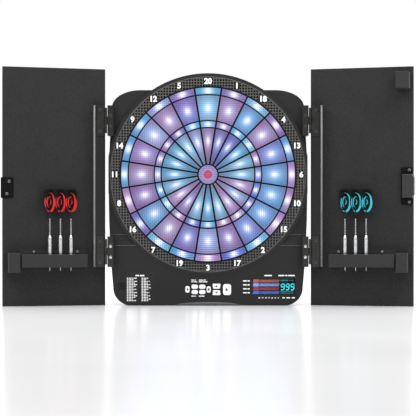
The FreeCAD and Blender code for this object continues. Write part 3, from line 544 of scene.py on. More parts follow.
class Rig(Graph):
    """A Geometry Nodes tree with named inputs, which are read as rig[name]."""

    def __init__(self, name, inputs):
        super().__init__(bpy.data.node_groups.new(name, "GeometryNodeTree"))
        for way in ("INPUT", "OUTPUT"):
            self.tree.interface.new_socket("Geometry", in_out=way, socket_type="NodeSocketGeometry")
        kinds = {float: "NodeSocketFloat", int: "NodeSocketInt", tuple: "NodeSocketVector"}
        self.values = {}
        for key, value in inputs.items():
            socket = self.tree.interface.new_socket(key, in_out="INPUT", socket_type=kinds[type(value)])
            self.values[socket.identifier] = value
        self.entry = self.tree.nodes.new("NodeGroupInput")
        self.exit = self.tree.nodes.new("NodeGroupOutput")

    def __getitem__(self, name):
        return Val(self, self.entry.outputs[name])

    def position(self):
        """The x, y and z of each point."""
        return self.split(self.node("GeometryNodeInputPosition"))

    def join(self, *parts):
        made = self.tree.nodes.new("GeometryNodeJoinGeometry")
        for part in parts:
            self.feed(made.inputs[0], part)
        return Val(self, made.outputs[0])

    def moved(self, geometry, **how):
        """The geometry moved or turned: translation=..., rotation=..."""
        inputs = {key.capitalize(): value for key, value in how.items()}
        return self.node("GeometryNodeTransform", inputs={"Geometry": geometry, **inputs})

    def instances(self, points, instance, **how):
        """A copy of the instance on each point: selection=..., rotation=..., scale=..."""
        inputs = {key.capitalize(): value for key, value in how.items()}
        inputs.update({"Points": points, "Instance": instance})
        return self.node("GeometryNodeInstanceOnPoints", inputs=inputs)

    def finish(self, name, geometry, material, base=None):
        """Realize, set the material, and return the result as a plain mesh object."""
        real = self.node("GeometryNodeRealizeInstances", inputs={0: geometry})
        done = self.node("GeometryNodeSetMaterial", inputs={"Geometry": real, "Material": material})
        self.feed(self.exit.inputs[0], done)
        obj = link(name, base or bpy.data.meshes.new(name))
        modifier = obj.modifiers.new("rig", "NODES")
        modifier.node_group = self.tree
        for identifier, value in self.values.items():
            modifier[identifier] = value
        return freeze(obj)


def lathe(name, profile, start, along, material, steps=24, closed=False):
    """A turned piece: (radius, distance) pairs about an axis from start."""
    along = Vector(along).normalized()
    side = along.orthogonal().normalized()
    other = along.cross(side)
    turns = [2 * pi * k / steps for k in range(steps)]
    bm = bmesh.new()
    rows = []
    for radius, far in profile:
        middle = Vector(start) + along * far
        if radius < MERGE:
            rows.append([bm.verts.new(middle)] * steps)
        else:
            rows.append([bm.verts.new(middle + (side * cos(a) + other * sin(a)) * radius) for a in turns])
    for low, high in zip(rows, rows[1:] + (rows[:1] if closed else [])):
        band(bm, low, high)
    return smooth_by_angle(from_bmesh(name, bm, material), 40)


def corners(points):
    """The low and high corners of a cloud of points."""
    return [Vector(limit(p[k] for p in points) for k in range(3)) for limit in (min, max)]


def solids(node):
    """The points of each separate solid of a CAD piece."""
    bm = bmesh.new()
    bm.from_mesh(nodes[node].data)
    bmesh.ops.remove_doubles(bm, verts=bm.verts, dist=MERGE)
    found, seen = [], set()
    for vert in bm.verts:
        if vert in seen:
            continue
        stack, group = [vert], []
        seen.add(vert)
        while stack:
            v = stack.pop()
            group.append(v.co.copy())
            linked = [w for w in (e.other_vert(v) for e in v.link_edges) if w not in seen]
            seen.update(linked)
            stack += linked
        found.append(group)
    bm.free()
    return found


def merged(name, objects):
    """Several made meshes as one piece, with their own materials kept."""
    bm = bmesh.new()
    materials = []
    for obj in objects:
        mesh = obj.data
        materials += [m for m in mesh.materials if m not in materials]
        for face in mesh.polygons:
            face.material_index = materials.index(mesh.materials[face.material_index])
        bm.from_mesh(mesh)
        bpy.data.objects.remove(obj)
        bpy.data.meshes.remove(mesh)
    made = link(name, mesh_of(name, bm))
    for material in materials:
        made.data.materials.append(material)
    return made


# ------------------------------------------------------------------ the dial
SEGMENT_SIDE = 1.75 * MM                  # a segment's side, from the middle line of the web
HOLE_PITCH = 3.9 * MM                     # the small holes that take a dart's soft point
HOLE_R = 0.85 * MM
HOLE_SIDES = 6
HOLE_MARGIN = 1.5 * MM                    # hole's middle to the segment's edge, at least
NO_LIMIT = -1.0                           # a margin or a low radius that leaves out no hole
FLAT_TO_FRONT = radians(90)               # a flat drawing, stood up to face the player


def radii(node):
    """The smallest and largest radius of a dial piece about the dial's middle."""
    found = [sqrt(v.co.x ** 2 + (v.co.z - DIAL_Z) ** 2) for v in nodes[node].data.vertices]
    return min(found), max(found)


def loops_mesh(name, loops):
    """Closed outlines, as loose edges in a flat drawing."""
    points, edges = [], []
    for loop in loops:
        first = len(points)
        points += [(x, y, 0) for x, y in loop]
        edges += [(first + k, first + (k + 1) % len(loop)) for k in range(len(loop))]
    mesh = bpy.data.meshes.new(name)
    mesh.from_pydata(points, edges, [])
    return mesh


def ring_point(r, a):
    """A place on the dial, by its radius and its angle clockwise from the top."""
    return r * sin(a), r * cos(a)


def wedge_loops(low, high, steps=8):
    """The outlines of a ring's segments, their sides parallel to the web."""
    loops = []
    for n in range(SECTORS):
        middle = n * SECTOR
        reach_in = SECTOR / 2 - SEGMENT_SIDE / low
        reach_out = SECTOR / 2 - SEGMENT_SIDE / high
        inner = [ring_point(low, middle - reach_in + 2 * reach_in * k / steps) for k in range(steps + 1)]
        outer = [ring_point(high, middle + reach_out - 2 * reach_out * k / steps) for k in range(steps + 1)]
        loops.append(inner + outer)
    return loops


def circle_loops(*sizes, steps=72):
    return [[ring_point(r, 2 * pi * k / steps) for k in range(steps)] for r in sizes]


def drilled(node, loops, low, high, spokes, material):
    """A dial piece with its small holes right through, standing for the plain CAD one."""
    front, back = (corner.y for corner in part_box(node))
    rig = Rig("holes", {"Pitch": HOLE_PITCH, "Hole radius": HOLE_R, "Low radius": low + HOLE_MARGIN,
                        "High radius": high - HOLE_MARGIN, "Spoke margin": spokes, "Thickness": back - front,
                        "Rows": int(2 * high / HOLE_PITCH) | 1})
    size = (rig["Rows"] - 1.0) * rig["Pitch"]
    grid = rig.node("GeometryNodeMeshGrid", inputs={0: size, 1: size, 2: rig["Rows"], 3: rig["Rows"]})
    x, y, _ = rig.position()
    radius = (x * x + y * y).sqrt()
    aside = ((x.atan2(y) / SECTOR + SECTORS).fract() - 0.5).abs() * SECTOR * radius
    clear = (aside > rig["Spoke margin"]) * (radius > rig["Low radius"]) * (radius < rig["High radius"])
    ring = rig.node("GeometryNodeCurvePrimitiveCircle", inputs={
        "Resolution": HOLE_SIDES, "Radius": rig["Hole radius"]})
    holes = rig.node("GeometryNodeRealizeInstances", inputs={0: rig.instances(grid, ring, selection=clear)})
    edges = rig.node("GeometryNodeMeshToCurve", inputs={0: rig["Geometry"]})
    face = rig.node("GeometryNodeFillCurve", {"mode": "TRIANGLES"}, {0: rig.join(edges, holes)})
    back_face = rig.node("GeometryNodeExtrudeMesh", inputs={
        "Mesh": rig.node("GeometryNodeFlipFaces", inputs={0: face}),
        "Offset": rig.vector(z=rig["Thickness"] * -1.0), "Offset Scale": 1.0, "Individual": False})
    solid = rig.node("GeometryNodeMergeByDistance", inputs={0: rig.join(face, back_face), "Distance": MERGE})
    stood = rig.moved(solid, translation=(DIAL_X, front, DIAL_Z), rotation=(FLAT_TO_FRONT, 0, 0))
    made = rig.finish("drilled_" + node, stood, material, loops_mesh(node + " outlines", loops))
    return add(made, BODY_OF[node], SLOT_OF[node], node)


def add_dial():
    for ring in SHOW:
        low, high = radii(ring)
        drilled(ring, wedge_loops(low, high), low, high, SEGMENT_SIDE + HOLE_MARGIN, lit(ring))
    low, high = radii("outer_bull")
    drilled("outer_bull", circle_loops(low, high), low, high, NO_LIMIT,
            lit_disc("outer bull light", (0.24, 0.20, 0.42), (0.44, 0.36, 0.60), high))
    high = radii("inner_bull")[1]
    drilled("inner_bull", circle_loops(high, steps=40), NO_LIMIT, high, NO_LIMIT,
            lit_disc("inner bull light", (0.36, 0.05, 0.16), (0.62, 0.06, 0.14), high))


# ------------------------------------------------------------------ the number ring
NUMBERS = (20, 1, 18, 4, 13, 6, 10, 15, 2, 17, 3, 19, 7, 16, 8, 11, 14, 9, 12, 5)
GRILLE_PITCH = 5.55 * MM
BAR_W = 1.6 * MM
GRILLE_DOWN = 0.35 * MM                   # the grille lies this far behind the rims
LEVEL_DOWN = 0.25 * MM                    # and its level bars this far behind the upright ones
GRILLE_BACK = 0.5 * MM                    # sheet behind the grille, near-black as painted shade seen through its holes
RIM_OUT = 1.7 * MM                        # plain rims at the ring's outer and inner edge
RIM_IN = 1.3 * MM
NUMBER_R = 0.5 * (RING_HIGH.z - DIAL_Z) + 0.5 * radii("number_ring")[0] + 1.0 * MM
NUMBER_H = 10.9 * MM
DIGIT_HALF = 3.6 * MM                     # half the width of one digit
NUMBER_BOLD = 0.7 * MM
NUMBER_T = 0.28 * MM
PAD_OVER = (1.5 * MM, 1.2 * MM)           # a number's dark pad reaches past it, across and up
PAD_DEPTHS = (0.25 * MM, 2.0 * MM)        # its front and back, behind the rims
PAD_ROUND = 2.4 * MM
FONT_RISE = 0.73                          # a figure's height as a share of the font's size


def turned_ring(name, profile, material, steps=160):
    """A closed ring about the dial's axis from (radius, depth) pairs behind the dial's front."""
    return lathe(name, profile, (DIAL_X, FACE_Y, DIAL_Z), (0, 1, 0), material, steps, closed=True)


def rim(name, low, high, depth, material, ease=0.35 * MM):
    """A flat ring whose front edges are rounded over."""
    inner = [(low, depth), (low, ease), (low + 0.3 * ease, 0.3 * ease), (low + ease, 0)]
    return turned_ring(name, inner + [(low + high - r, far) for r, far in reversed(inner)], material)


def grille(low, high, y, depth, material):
    """Crossed bars cut to the ring: one set upright, one level and a hair deeper."""
    rig = Rig("grille", {"Bars": int(2 * high / GRILLE_PITCH) | 1, "Pitch": GRILLE_PITCH, "Bar width": BAR_W,
                         "Depth": depth, "Low radius": low, "High radius": high, "Step back": LEVEL_DOWN})
    start = (rig["Bars"] - 1.0) * rig["Pitch"] * -0.5
    row = rig.node("GeometryNodeMeshLine", inputs={
        "Count": rig["Bars"], "Start Location": rig.vector(start), "Offset": rig.vector(rig["Pitch"])})
    x, _, _ = rig.position()
    near, far = ((rig[radius] * rig[radius] - x * x).max(0.0).sqrt()
                 for radius in ("Low radius", "High radius"))
    bar = rig.node("GeometryNodeMeshCube", inputs={"Size": rig.vector(rig["Bar width"], 1.0, rig["Depth"])})
    sets = []
    for way in (1.0, -1.0):
        middles = rig.node("GeometryNodeSetPosition", inputs={
            "Geometry": row, "Offset": rig.vector(y=(near + far) * 0.5 * way)})
        sets.append(rig.instances(middles, bar, scale=rig.vector(1.0, far - near, 1.0)))
    upright = rig.join(*sets)
    back = rig.vector(z=rig["Step back"] * -1.0)
    level = rig.moved(upright, translation=back, rotation=(0, 0, radians(90)))
    stood = rig.moved(rig.join(upright, level), translation=(DIAL_X, y + depth / 2, DIAL_Z),
                      rotation=(FLAT_TO_FRONT, 0, 0))
    return rig.finish("grille bars", stood, material)


def figures(name, text, size, x, y, z, material, bold, thick):
    """Raised or printed figures that face the player, their middle at x, z and their face at y."""
    curve = bpy.data.curves.new(name, "FONT")
    curve.body = text
    curve.size = size / FONT_RISE
    curve.offset = bold
    curve.extrude = thick / 2
    curve.align_x = curve.align_y = "CENTER"
    curve.resolution_u = 4
    holder = bpy.data.objects.new(name, curve)
    bpy.context.scene.collection.objects.link(holder)
    graph = bpy.context.evaluated_depsgraph_get()
    mesh = bpy.data.meshes.new_from_object(holder.evaluated_get(graph), depsgraph=graph)
    bpy.data.objects.remove(holder)
    bpy.data.curves.remove(curve)
    low, high = corners([v.co for v in mesh.vertices])
    mesh.transform(Matrix.Translation((0, -(low.y + high.y) / 2, 0)))
    mesh.transform(Matrix.Translation((x, y + thick / 2, z)) @ Matrix.Rotation(FLAT_TO_FRONT, 4, "X"))
    return link(name, mesh, material)


def slab(name, x0, x1, z0, z1, y0, y1, round_r, material, ease=0.3 * MM, steps=5):
    """A flat plate facing the player: round corners and a rounded-over front edge."""
    bm = bmesh.new()
    loop = []
    for cx, cz, start in ((x1 - round_r, z1 - round_r, 0), (x0 + round_r, z1 - round_r, 90),
                          (x0 + round_r, z0 + round_r, 180), (x1 - round_r, z0 + round_r, 270)):
        for k in range(steps + 1):
            a = radians(start + 90 * k / steps)
            loop.append((cx + round_r * cos(a), cz + round_r * sin(a), cos(a), sin(a)))
    rows = [[bm.verts.new((x - nx * inset, y, z - nz * inset)) for x, z, nx, nz in loop]
            for inset, y in ((0, y1), (0, y0 + ease), (0.3 * ease, y0 + 0.3 * ease), (ease, y0))]
    for low, high in zip(rows, rows[1:]):
        band(bm, low, high)
    bm.faces.new(rows[0])
    bm.faces.new(rows[-1])
    return smooth_by_angle(from_bmesh(name, bm, material), 40)


def add_number_ring():
    low, high = radii("number_ring")
    depth = RING_HIGH.y - RING_LOW.y
    sheet = depth - GRILLE_BACK
    # The outer rim takes the painted highlight finish, for the light line round the ring's edge.
    parts = [rim("outer rim", high - RIM_OUT, high, depth, PAINTED_HIGHLIGHT),
             rim("inner rim", low, low + RIM_IN, depth, RING),
             # Painted shade: a near-black sheet seen through the grille's holes.
             turned_ring("back sheet", [(low, sheet), (high, sheet), (high, depth), (low, depth)], PIT),
             grille(low + RIM_IN * 0.6, high - RIM_OUT * 0.6, FACE_Y + GRILLE_DOWN, sheet - 0.4 * MM, GRILLE)]
    made = []
    for n, number in enumerate(NUMBERS):
        x, up = ring_point(NUMBER_R, n * SECTOR)
        z = DIAL_Z + up
        half_w = DIGIT_HALF * len(str(number)) + PAD_OVER[0]
        half_h = NUMBER_H / 2 + PAD_OVER[1]
        front, back = (FACE_Y + depth for depth in PAD_DEPTHS)
        parts.append(slab("pad", x - half_w, x + half_w, z - half_h, z + half_h, front, back, PAD_ROUND, PIT))
        made.append(figures("figure", str(number), NUMBER_H, x, FACE_Y + 0.02 * MM, z, INK, NUMBER_BOLD,
                            NUMBER_T))
    add(merged("number_ring_grille", parts), "housing", "black_abs", "number_ring")
    add(merged("number_ring_figures", made), "housing", "printed_film")


# ------------------------------------------------------------------ housing and console
CONSOLE_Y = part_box("legend_panel")[0].y - 0.05 * MM    # the console's face
LIP_HALF = 66 * MM                        # half the width of the lip under the console
LIP_RISE = 5.2 * MM
BEAD_R = 0.55 * MM
BEAD_END = 1.2 * MM                       # a bead's end tapers over this length
# Height of each bead on the console's ledge, and how far it reaches from the case's side inwards
BEADS = ((139.6, 192.0, 160.5), (118.0, 184.0, 142.5))
INK_T = 0.12 * MM                         # thickness of printed signs and bars


def add_housing():
    eased("front_housing", "front_shell", SHELL, 0.9 * MM, segments=3)
    eased("rear_cover", "back_shell", SHELL, 0.5 * MM)
    eased("spider", "dial_web", WEB, 0.22 * MM, segments=1)
    eased("hinge_brackets", "hinge_seats", SHELL, 0.4 * MM)


def add_lip(steps=24):
    """The shallow moulded lip under the console, fading out to both sides, with a painted highlight finish."""
    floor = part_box("front_housing")[0].z
    bm = bmesh.new()
    rows = []
    for k in range(steps + 1):
        t = -1 + 2 * k / steps
        rise = LIP_RISE * (1 - abs(t) ** 2.4)
        rows.append([bm.verts.new((t * LIP_HALF, CONSOLE_Y - out * MM, floor + up * MM + share * rise))
                     for out, up, share in ((0.0, 1.2, 0), (0.25, 1.4, 0), (0.45, 1.2, 0.5), (0.25, 1.3, 1),
                                            (0.0, 1.4, 1))])
    for a, b in zip(rows, rows[1:]):
        band(bm, a, b)
    bm.faces.new(rows[0])
    bm.faces.new(rows[-1])
    add(smooth_by_angle(from_bmesh("console_lip", bm, PAINTED_HIGHLIGHT), 180), "housing", "black_abs")


def add_beads():
    """Fine beads along the two edges of the console's sloping ledge, beside the bezel, given a painted highlight
    finish.
    """
    shell = nodes["front_housing"].data
    surface = BVHTree.FromPolygons([v.co for v in shell.vertices], [list(p.vertices) for p in shell.polygons])
    parts = []
    for height, outer, inner in BEADS:
        length = (outer - inner) * MM
        half = [(0, 0), (BEAD_R * 0.6, 0.2 * MM), (BEAD_R, BEAD_END)]
        profile = half + [(r, length - far) for r, far in reversed(half)]
        for side in (-1, 1):
            middle = Vector((side * (outer + inner) / 2 * MM, -1.0, height * MM))
            hit = surface.ray_cast(middle, Vector((0, 1, 0)))[0]
            parts.append(lathe("bead", profile, (side * outer * MM, hit.y - BEAD_R * 0.2, height * MM),
                               (-side, 0, 0), PAINTED_HIGHLIGHT, 10))
    add(merged("console_beads", parts), "housing", "black_abs")


def sign_outline(kind):
    """The outline of a key's sign about its middle, in millimetres."""
    if kind == "dot":
        return [(1.6 * cos(a), 2.4 * sin(a)) for a in (2 * pi * k / 16 for k in range(16))]
    return {"triangle": [(-2.6, -3.4), (2.6, 0), (-2.6, 3.4)], "up": [(-3.4, -1.7), (3.4, -1.7), (0, 1.7)],
            "down": [(-3.4, 1.7), (0, -1.7), (3.4, 1.7)],
            "bar": [(-1.5, -2.6), (1.5, -2.6), (1.5, 2.6), (-1.5, 2.6)]}[kind]


KEY_SIGNS = {"key_start": "triangle", "key_power": "dot", "key_sound": "bar", "key_up": "up",
             "key_down": "down"}


def add_sign(node):
    """The printed sign on one key."""
    low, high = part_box(node)
    middle = (low + high) / 2
    y = low.y - 0.01 * MM
    outline = [(middle.x + x * MM, middle.z + z * MM) for x, z in sign_outline(KEY_SIGNS[node])]
    bm = bmesh.new()
    front, back = ([bm.verts.new((x, face, z)) for x, z in outline] for face in (y - INK_T, y))
    bm.faces.new(front)
    bm.faces.new(back)
    band(bm, front, back)
    add(from_bmesh(node + "_sign", bm, SIGN), BODY_OF[node], "white_rubber")


def add_keys():
    """Rounded white keys; five of them have a plain printed sign."""
    for node in [n for n in nodes if n.startswith("key_")]:
        eased(node, node + "_cap", WHITE, 0.45 * MM, segments=3)
        if node in KEY_SIGNS:
            add_sign(node)


def add_print(name, rows, height, y, material):
    """Printed bars that stand for words: (left x, middle z, length) for each."""
    parts = [slab("bar", x, x + length, z - height / 2, z + height / 2, y - INK_T, y, height * 0.3, material,
                  ease=0.04 * MM, steps=2) for x, z, length in rows]
    add(merged(name, parts), "housing", "printed_film")


def plate(node, name, round_r, material, ease):
    """A flat piece of the console with round corners, in place of the CAD one."""
    low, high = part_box(node)
    made = slab(name, low.x, high.x, low.z, high.z, low.y, high.y, round_r, material, ease)
    add(made, "housing", SLOT_OF[node], node)


def ragged(count, low, high, seed):
    """Lengths that look like short lines of words: the same every time."""
    return [low + (high - low) * (((k * 7 + seed * 5) * 37 % 101) / 100) for k in range(count)]


def words_in(x, z, total, sizes, space):
    """One line broken into word-long bars until its length is used up; sizes are in millimetres."""
    rows = []
    end = x + total * MM
    while x < end - 1.2 * MM:
        length = min(sizes[len(rows) % len(sizes)] * MM, end - x)
        rows.append((x, z, length))
        x += length + space * MM
    return rows


LEGEND_LINES = 15
LEGEND_PITCH = 3.15 * MM
LEGEND_MARGIN = 7.0 * MM                  # top of the panel to the middle of its heading
LEGEND_COLUMNS = (4.6 * MM, 33.6 * MM)    # left side of each column


def add_legend():
    """The list panel: a heading, then two columns of short lines, each with its narrow number block."""
    low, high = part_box("legend_panel")
    plate("legend_panel", "legend_sheet", 2.8 * MM, FILM, 0.1 * MM)
    top = high.z - LEGEND_MARGIN
    middle = low.x + 0.51 * (high.x - low.x)
    add_print("legend_heading", words_in(middle - 11 * MM, top, 18, (7, 9), 1.6), 2.6 * MM, low.y, INK)
    rows, blocks = [], []
    for column, (left, share) in enumerate(zip(LEGEND_COLUMNS, (1.0, 0.8))):
        for k, total in enumerate(ragged(LEGEND_LINES, 8, 19, column + 2)):
            z = top - 5.2 * MM - k * LEGEND_PITCH
            blocks.append((low.x + left, z, 3.0 * MM))
            rows += words_in(low.x + left + 4.0 * MM, z, total * share, (5.2, 3.1, 6.4), 0.8)
    add_print("legend_lines", rows, 1.9 * MM, low.y, PRINT_GREY)
    add_print("legend_blocks", blocks, 2.3 * MM, low.y, PRINT_GREY)


def add_key_labels():
    """Short printed bars over and under the option keys."""
    first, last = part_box("key_option_1"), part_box("key_option_4")
    above, below = first[1].z + 4.6 * MM, last[0].z - 3.0 * MM
    rows = []
    for x, w in ((first[0].x + 0.5 * MM, 9), (last[0].x + 0.2 * MM, 14)):
        rows += words_in(x, above + 3.4 * MM, w, (w * 0.62, w * 0.5), 0.8)
        rows += words_in(x, above, w + 3, (w * 0.5, w * 0.7), 0.8)
        rows += words_in(x, below, w * 0.5 + 5, (w * 0.8,), 0.8)
    add_print("key_labels", rows, 1.7 * MM, CONSOLE_Y, INK)


# ------------------------------------------------------------------ the display
CELL_LEAN = 0.35                          # lit cells lean over by this share of their height
CELL_T = 0.1 * MM
FIGURE_LEAN = 0.12
SCORE_W = 6.2 * MM                        # a figure of the score
SCORE_H = 11.6 * MM
SCORE_GAP = 3.5 * MM
SCORE_IN = 4.6 * MM                       # the first one's middle, inside the block of cells
SCORE_DOWN = 0.4 * MM
LABEL_UP = 6.6 * MM                       # labels over and under the window
LABEL_DOWN = 6.2 * MM
SMALL_H = 2.7 * MM                        # the small figures under the window
# Strokes that light up in a figure of seven strokes that shows a nine
NINE = "abcdfg"
# Middle of each row of the display below its top, as a share of the window's height
ROWS = {"row_red_brown": 0.135, "row_periwinkle": 0.385, "row_red": 0.625, "row_blue": 0.868}
# Rows of small cells round the figures: first x, from the block's left side or, below 0, from its right
# one; last x from its right side; share of the window's height; a cell's height; pitch; colour
SMALL_CELLS = ((0, -12, 0.90, 2.4, 2.6, "cyan_dim"), (-11, 0, 0.90, 1.2, 3.2, "cyan_dim"),
               (0, 0, 0.19, 2.6, 2.9, "teal"), (0, 0, 0.09, 2.2, 2.9, "teal"))


def cells(x0, x1, z, height, pitch, y, material, fill=0.62):
    """A row of small leaning lit cells between two places."""
    rig = Rig("cells", {"Count": int((x1 - x0) / pitch), "Pitch": pitch, "Cell width": pitch * fill,
                        "Cell height": height, "Lean": CELL_LEAN, "Thickness": CELL_T,
                        "Start": (x0 + pitch / 2, y, z)})
    row = rig.node("GeometryNodeMeshLine", inputs={"Count": rig["Count"], "Offset": rig.vector(rig["Pitch"]),
                                                   "Start Location": rig["Start"]})
    size = rig.vector(rig["Cell width"], rig["Thickness"], rig["Cell height"])
    cell = rig.node("GeometryNodeMeshCube", inputs={"Size": size})
    up = rig.position()[2]
    lean = rig.vector(up * rig["Lean"])
    leaning = rig.node("GeometryNodeSetPosition", inputs={"Geometry": cell, "Offset": lean})
    return rig.finish("cells", rig.instances(row, leaning), material)


def nines(name, count, x, z, width, height, gap, y, material):
    """Figures of seven strokes, leaning a little: as many nines, the first one's middle at x."""
    bm = bmesh.new()
    stroke = width * 0.22
    w, h = width / 2, height / 2
    places = {"a": (0, h), "b": (w, h / 2), "c": (w, -h / 2), "d": (0, -h), "f": (-w, h / 2), "g": (0, 0)}
    for n in range(count):
        for letter in NINE:
            cx, cz = places[letter]
            level = cx == 0
            half = (w if level else h / 2) - stroke * 0.25
            taper = half - stroke / 2
            points = [(-half, 0), (-taper, stroke / 2), (taper, stroke / 2), (half, 0), (taper, -stroke / 2),
                      (-taper, -stroke / 2)]
            if not level:
                points = [(b, a) for a, b in points]
            middle = x + n * (width + gap) + cx
            bm.faces.new([bm.verts.new((middle + px + FIGURE_LEAN * (cz + pz), y, z + cz + pz))
                          for px, pz in points])
    return thickened(from_bmesh(name, bm, material), CELL_T, -1)


def add_display():
    """Four rows of leaning cells beside a block of cyan figures, behind a tinted window."""
    low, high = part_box("display_window")
    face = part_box("display_digits")[0].y - 0.05 * MM
    width, height = high.x - low.x, high.z - low.z
    plate("display_digits", "display_face", 0.6 * MM, PIT, 0.1 * MM)
    for row, share in ROWS.items():
        z = high.z - height * share
        parts = [cells(low.x + 1.0 * MM, low.x + 0.155 * width, z, height * 0.2107, 1.5 * MM, face,
                       LAMPS[row], fill=0.9),
                 cells(low.x + 0.165 * width, low.x + 0.64 * width, z, height * 0.1813, 2.3 * MM, face,
                       LAMPS[row])]
        add(merged("display_" + row, parts), "housing", "display_module")
    left, right = low.x + 0.655 * width, high.x - 1.2 * MM
    score = nines("score_figures", 3, left + SCORE_IN, (low.z + high.z) / 2 - SCORE_DOWN, SCORE_W, SCORE_H,
                  SCORE_GAP, face, LAMPS["cyan"])
    add(score, "housing", "display_module")
    small = [cells((left if x0 >= 0 else right) + x0 * MM, right + x1 * MM, low.z + share * height, size * MM,
                   pitch * MM, face, LAMPS[colour]) for x0, x1, share, size, pitch, colour in SMALL_CELLS]
    add(merged("display_small_cells", small), "housing", "display_module")
    plate("display_window", "window_pane", 1.8 * MM, PANE, 0.25 * MM)


def add_display_labels():
    """Plain numbers and word-long bars round the window."""
    low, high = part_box("display_window")
    width = high.x - low.x
    above, below = high.z + LABEL_UP, low.z - LABEL_DOWN
    rows = []
    for n in range(4):
        z = high.z - (high.z - low.z) * (0.13 + 0.25 * n)
        rows += words_in(low.x - 18.5 * MM, z, 13.5, (7.6, 4.6), 1.2)
    rows += words_in(low.x + 0.28 * width, above, 15, (15,), 1)
    rows += words_in(low.x + 0.61 * width, above, 33, (12, 4.5, 13), 1.4)
    rows += words_in(low.x + 0.70 * width, below, 26, (5, 7, 6), 3.4)
    add_print("display_labels", rows, 2.3 * MM, CONSOLE_Y, INK)
    made = [figures("small figure", text, SMALL_H, low.x + (0.16 + 0.075 * n) * width,
                    CONSOLE_Y - 0.1 * MM, below, INK, bold=0.12 * MM, thick=0.1 * MM)
            for n, text in enumerate(("20", "19", "18", "17", "16", "15", "B"))]
    add(merged("display_numbers", made), "housing", "printed_film")


# ------------------------------------------------------------------ doors
SIDES = ((-1, "left"), (1, "right"))
HINGE_X, HINGE_Y = SWING["pos_m"][:2]
OPEN_ANGLE = radians(SWING["range_deg"][1])       # the doors at rest, from closed
CATCH_BASE = 3.2 * MM                     # the catch's black foot


def door_matrix(side):
    """From a closed left-hand door (u, n, z) to a door at rest; side is -1 for left and 1 for right."""
    turn = Matrix.Translation((HINGE_X, HINGE_Y, 0)) @ Matrix.Rotation(-OPEN_ANGLE, 4, "Z")
    return Matrix.Diagonal((-1, 1, 1, 1)) @ turn if side > 0 else turn


def door_way(side, way):
    """A direction of the closed left-hand door, on a door at rest."""
    return (door_matrix(side).to_3x3() @ Vector(way)).normalized()


def second_finish(obj, wanted, material):
    """Give the faces that are wanted another material."""
    obj.data.materials.append(material)
    for face in obj.data.polygons:
        if wanted(face):
            face.material_index = 1


# ------------------------------------------------------------------ screws
SHANK_R = 1.7 * MM
FLAT_HEAD_R = 2.9 * MM
PAN_HEAD_R = 3.2 * MM
FLAT_SINK = 1.2 * MM                      # depth of a countersunk head
PAN_RISE = 1.7 * MM
CASE_PAN_RISE = 1.4 * MM
DOOR_FLAT_L = 12 * MM                     # screws in a door's hinge leaves
DOOR_PAN_L = 8 * MM                       # in its holder, blocks and catch
BOARD_FLAT_L = 20 * MM                    # in the board's hinge leaves
CASE_PAN_L = 12 * MM
HEAD_CLEAR = 0.06 * MM                    # a pan head's top under its CAD piece's top, on the doors
CASE_HEAD_CLEAR = 0.05 * MM               # and on the case
SCREW_STEPS = 24


def screw_template(name, head_r, rise, sink, shank_l):
    """A cross-headed screw along +Z: its seat at 0, its head up by rise, its cone down by sink."""
    bm = bmesh.new()
    turns = [2 * pi * k / SCREW_STEPS for k in range(SCREW_STEPS)]

    def ring(r, z):
        return [bm.verts.new((r * cos(a), r * sin(a), z)) for a in turns]

    flat_r = head_r * (0.74 if rise else 0.93)
    arm, half, deep = flat_r * 0.74, head_r * 0.13, min(0.9 * MM, (rise + sink) * 0.6)
    quarter = [(half, half), (half, arm), (-half, arm)]
    cross = []
    for _ in range(4):
        cross += quarter
        quarter = [(-y, x) for x, y in quarter]
    top = ring(flat_r, rise)
    upper, lower = ([bm.verts.new((x * share, y * share, z)) for x, y in cross]
                    for share, z in ((1.0, rise), (0.8, rise - deep)))
    edges = [bm.edges.new((row[k - 1], row[k])) for row in (top, upper) for k in range(len(row))]
    bmesh.ops.triangle_fill(bm, edges=edges, use_beauty=True)
    recess = [face for face in bm.faces if all(v in upper for v in face.verts)
              and in_cross(face.calc_center_median(), arm, half)]
    bmesh.ops.delete(bm, geom=recess, context="FACES_ONLY")
    band(bm, upper, lower)
    bm.faces.new(lower)
    if rise:
        levels = [(head_r * 0.90, rise * 0.80), (head_r, rise * 0.45), (head_r, 0.0), (SHANK_R, -0.01 * MM)]
    else:
        levels = [(head_r, -0.08 * MM), (SHANK_R, -sink)]
    levels += [(SHANK_R, SHANK_R - shank_l), (SHANK_R * 0.2, -shank_l)]
    rows = [top] + [ring(r, z) for r, z in levels]
    for low, high in zip(rows, rows[1:]):
        band(bm, low, high)
    bm.faces.new(rows[-1])
    bmesh.ops.recalc_face_normals(bm, faces=bm.faces)
    return mesh_of(name, bm)


def in_cross(point, arm, half):
    x, y = abs(point.x), abs(point.y)
    return (x < half and y < arm) or (y < half and x < arm)


def screws(name, template, heads, toward, material, spin):
    """Screws with their heads at the given points, all facing one way."""
    shape = template.copy()
    shape.transform(Vector(toward).to_track_quat("Z", "Y").to_matrix().to_4x4())
    holder = link("template", shape)
    cloud = bpy.data.meshes.new(name + " points")
    cloud.from_pydata([tuple(p) for p in heads], [], [])
    rig = Rig("screws", {"Spin step": spin, "Axis": tuple(toward)})
    source = rig.node("GeometryNodeObjectInfo", inputs={"Object": holder}, out="Geometry")
    angle = rig.node("GeometryNodeInputIndex") * rig["Spin step"]
    twist = rig.node("FunctionNodeAxisAngleToRotation", inputs={"Axis": rig["Axis"], "Angle": angle})
    made = rig.finish(name, rig.instances(rig["Geometry"], source, rotation=twist), material, cloud)
    bpy.data.objects.remove(holder)
    return smooth_by_angle(made, 30)


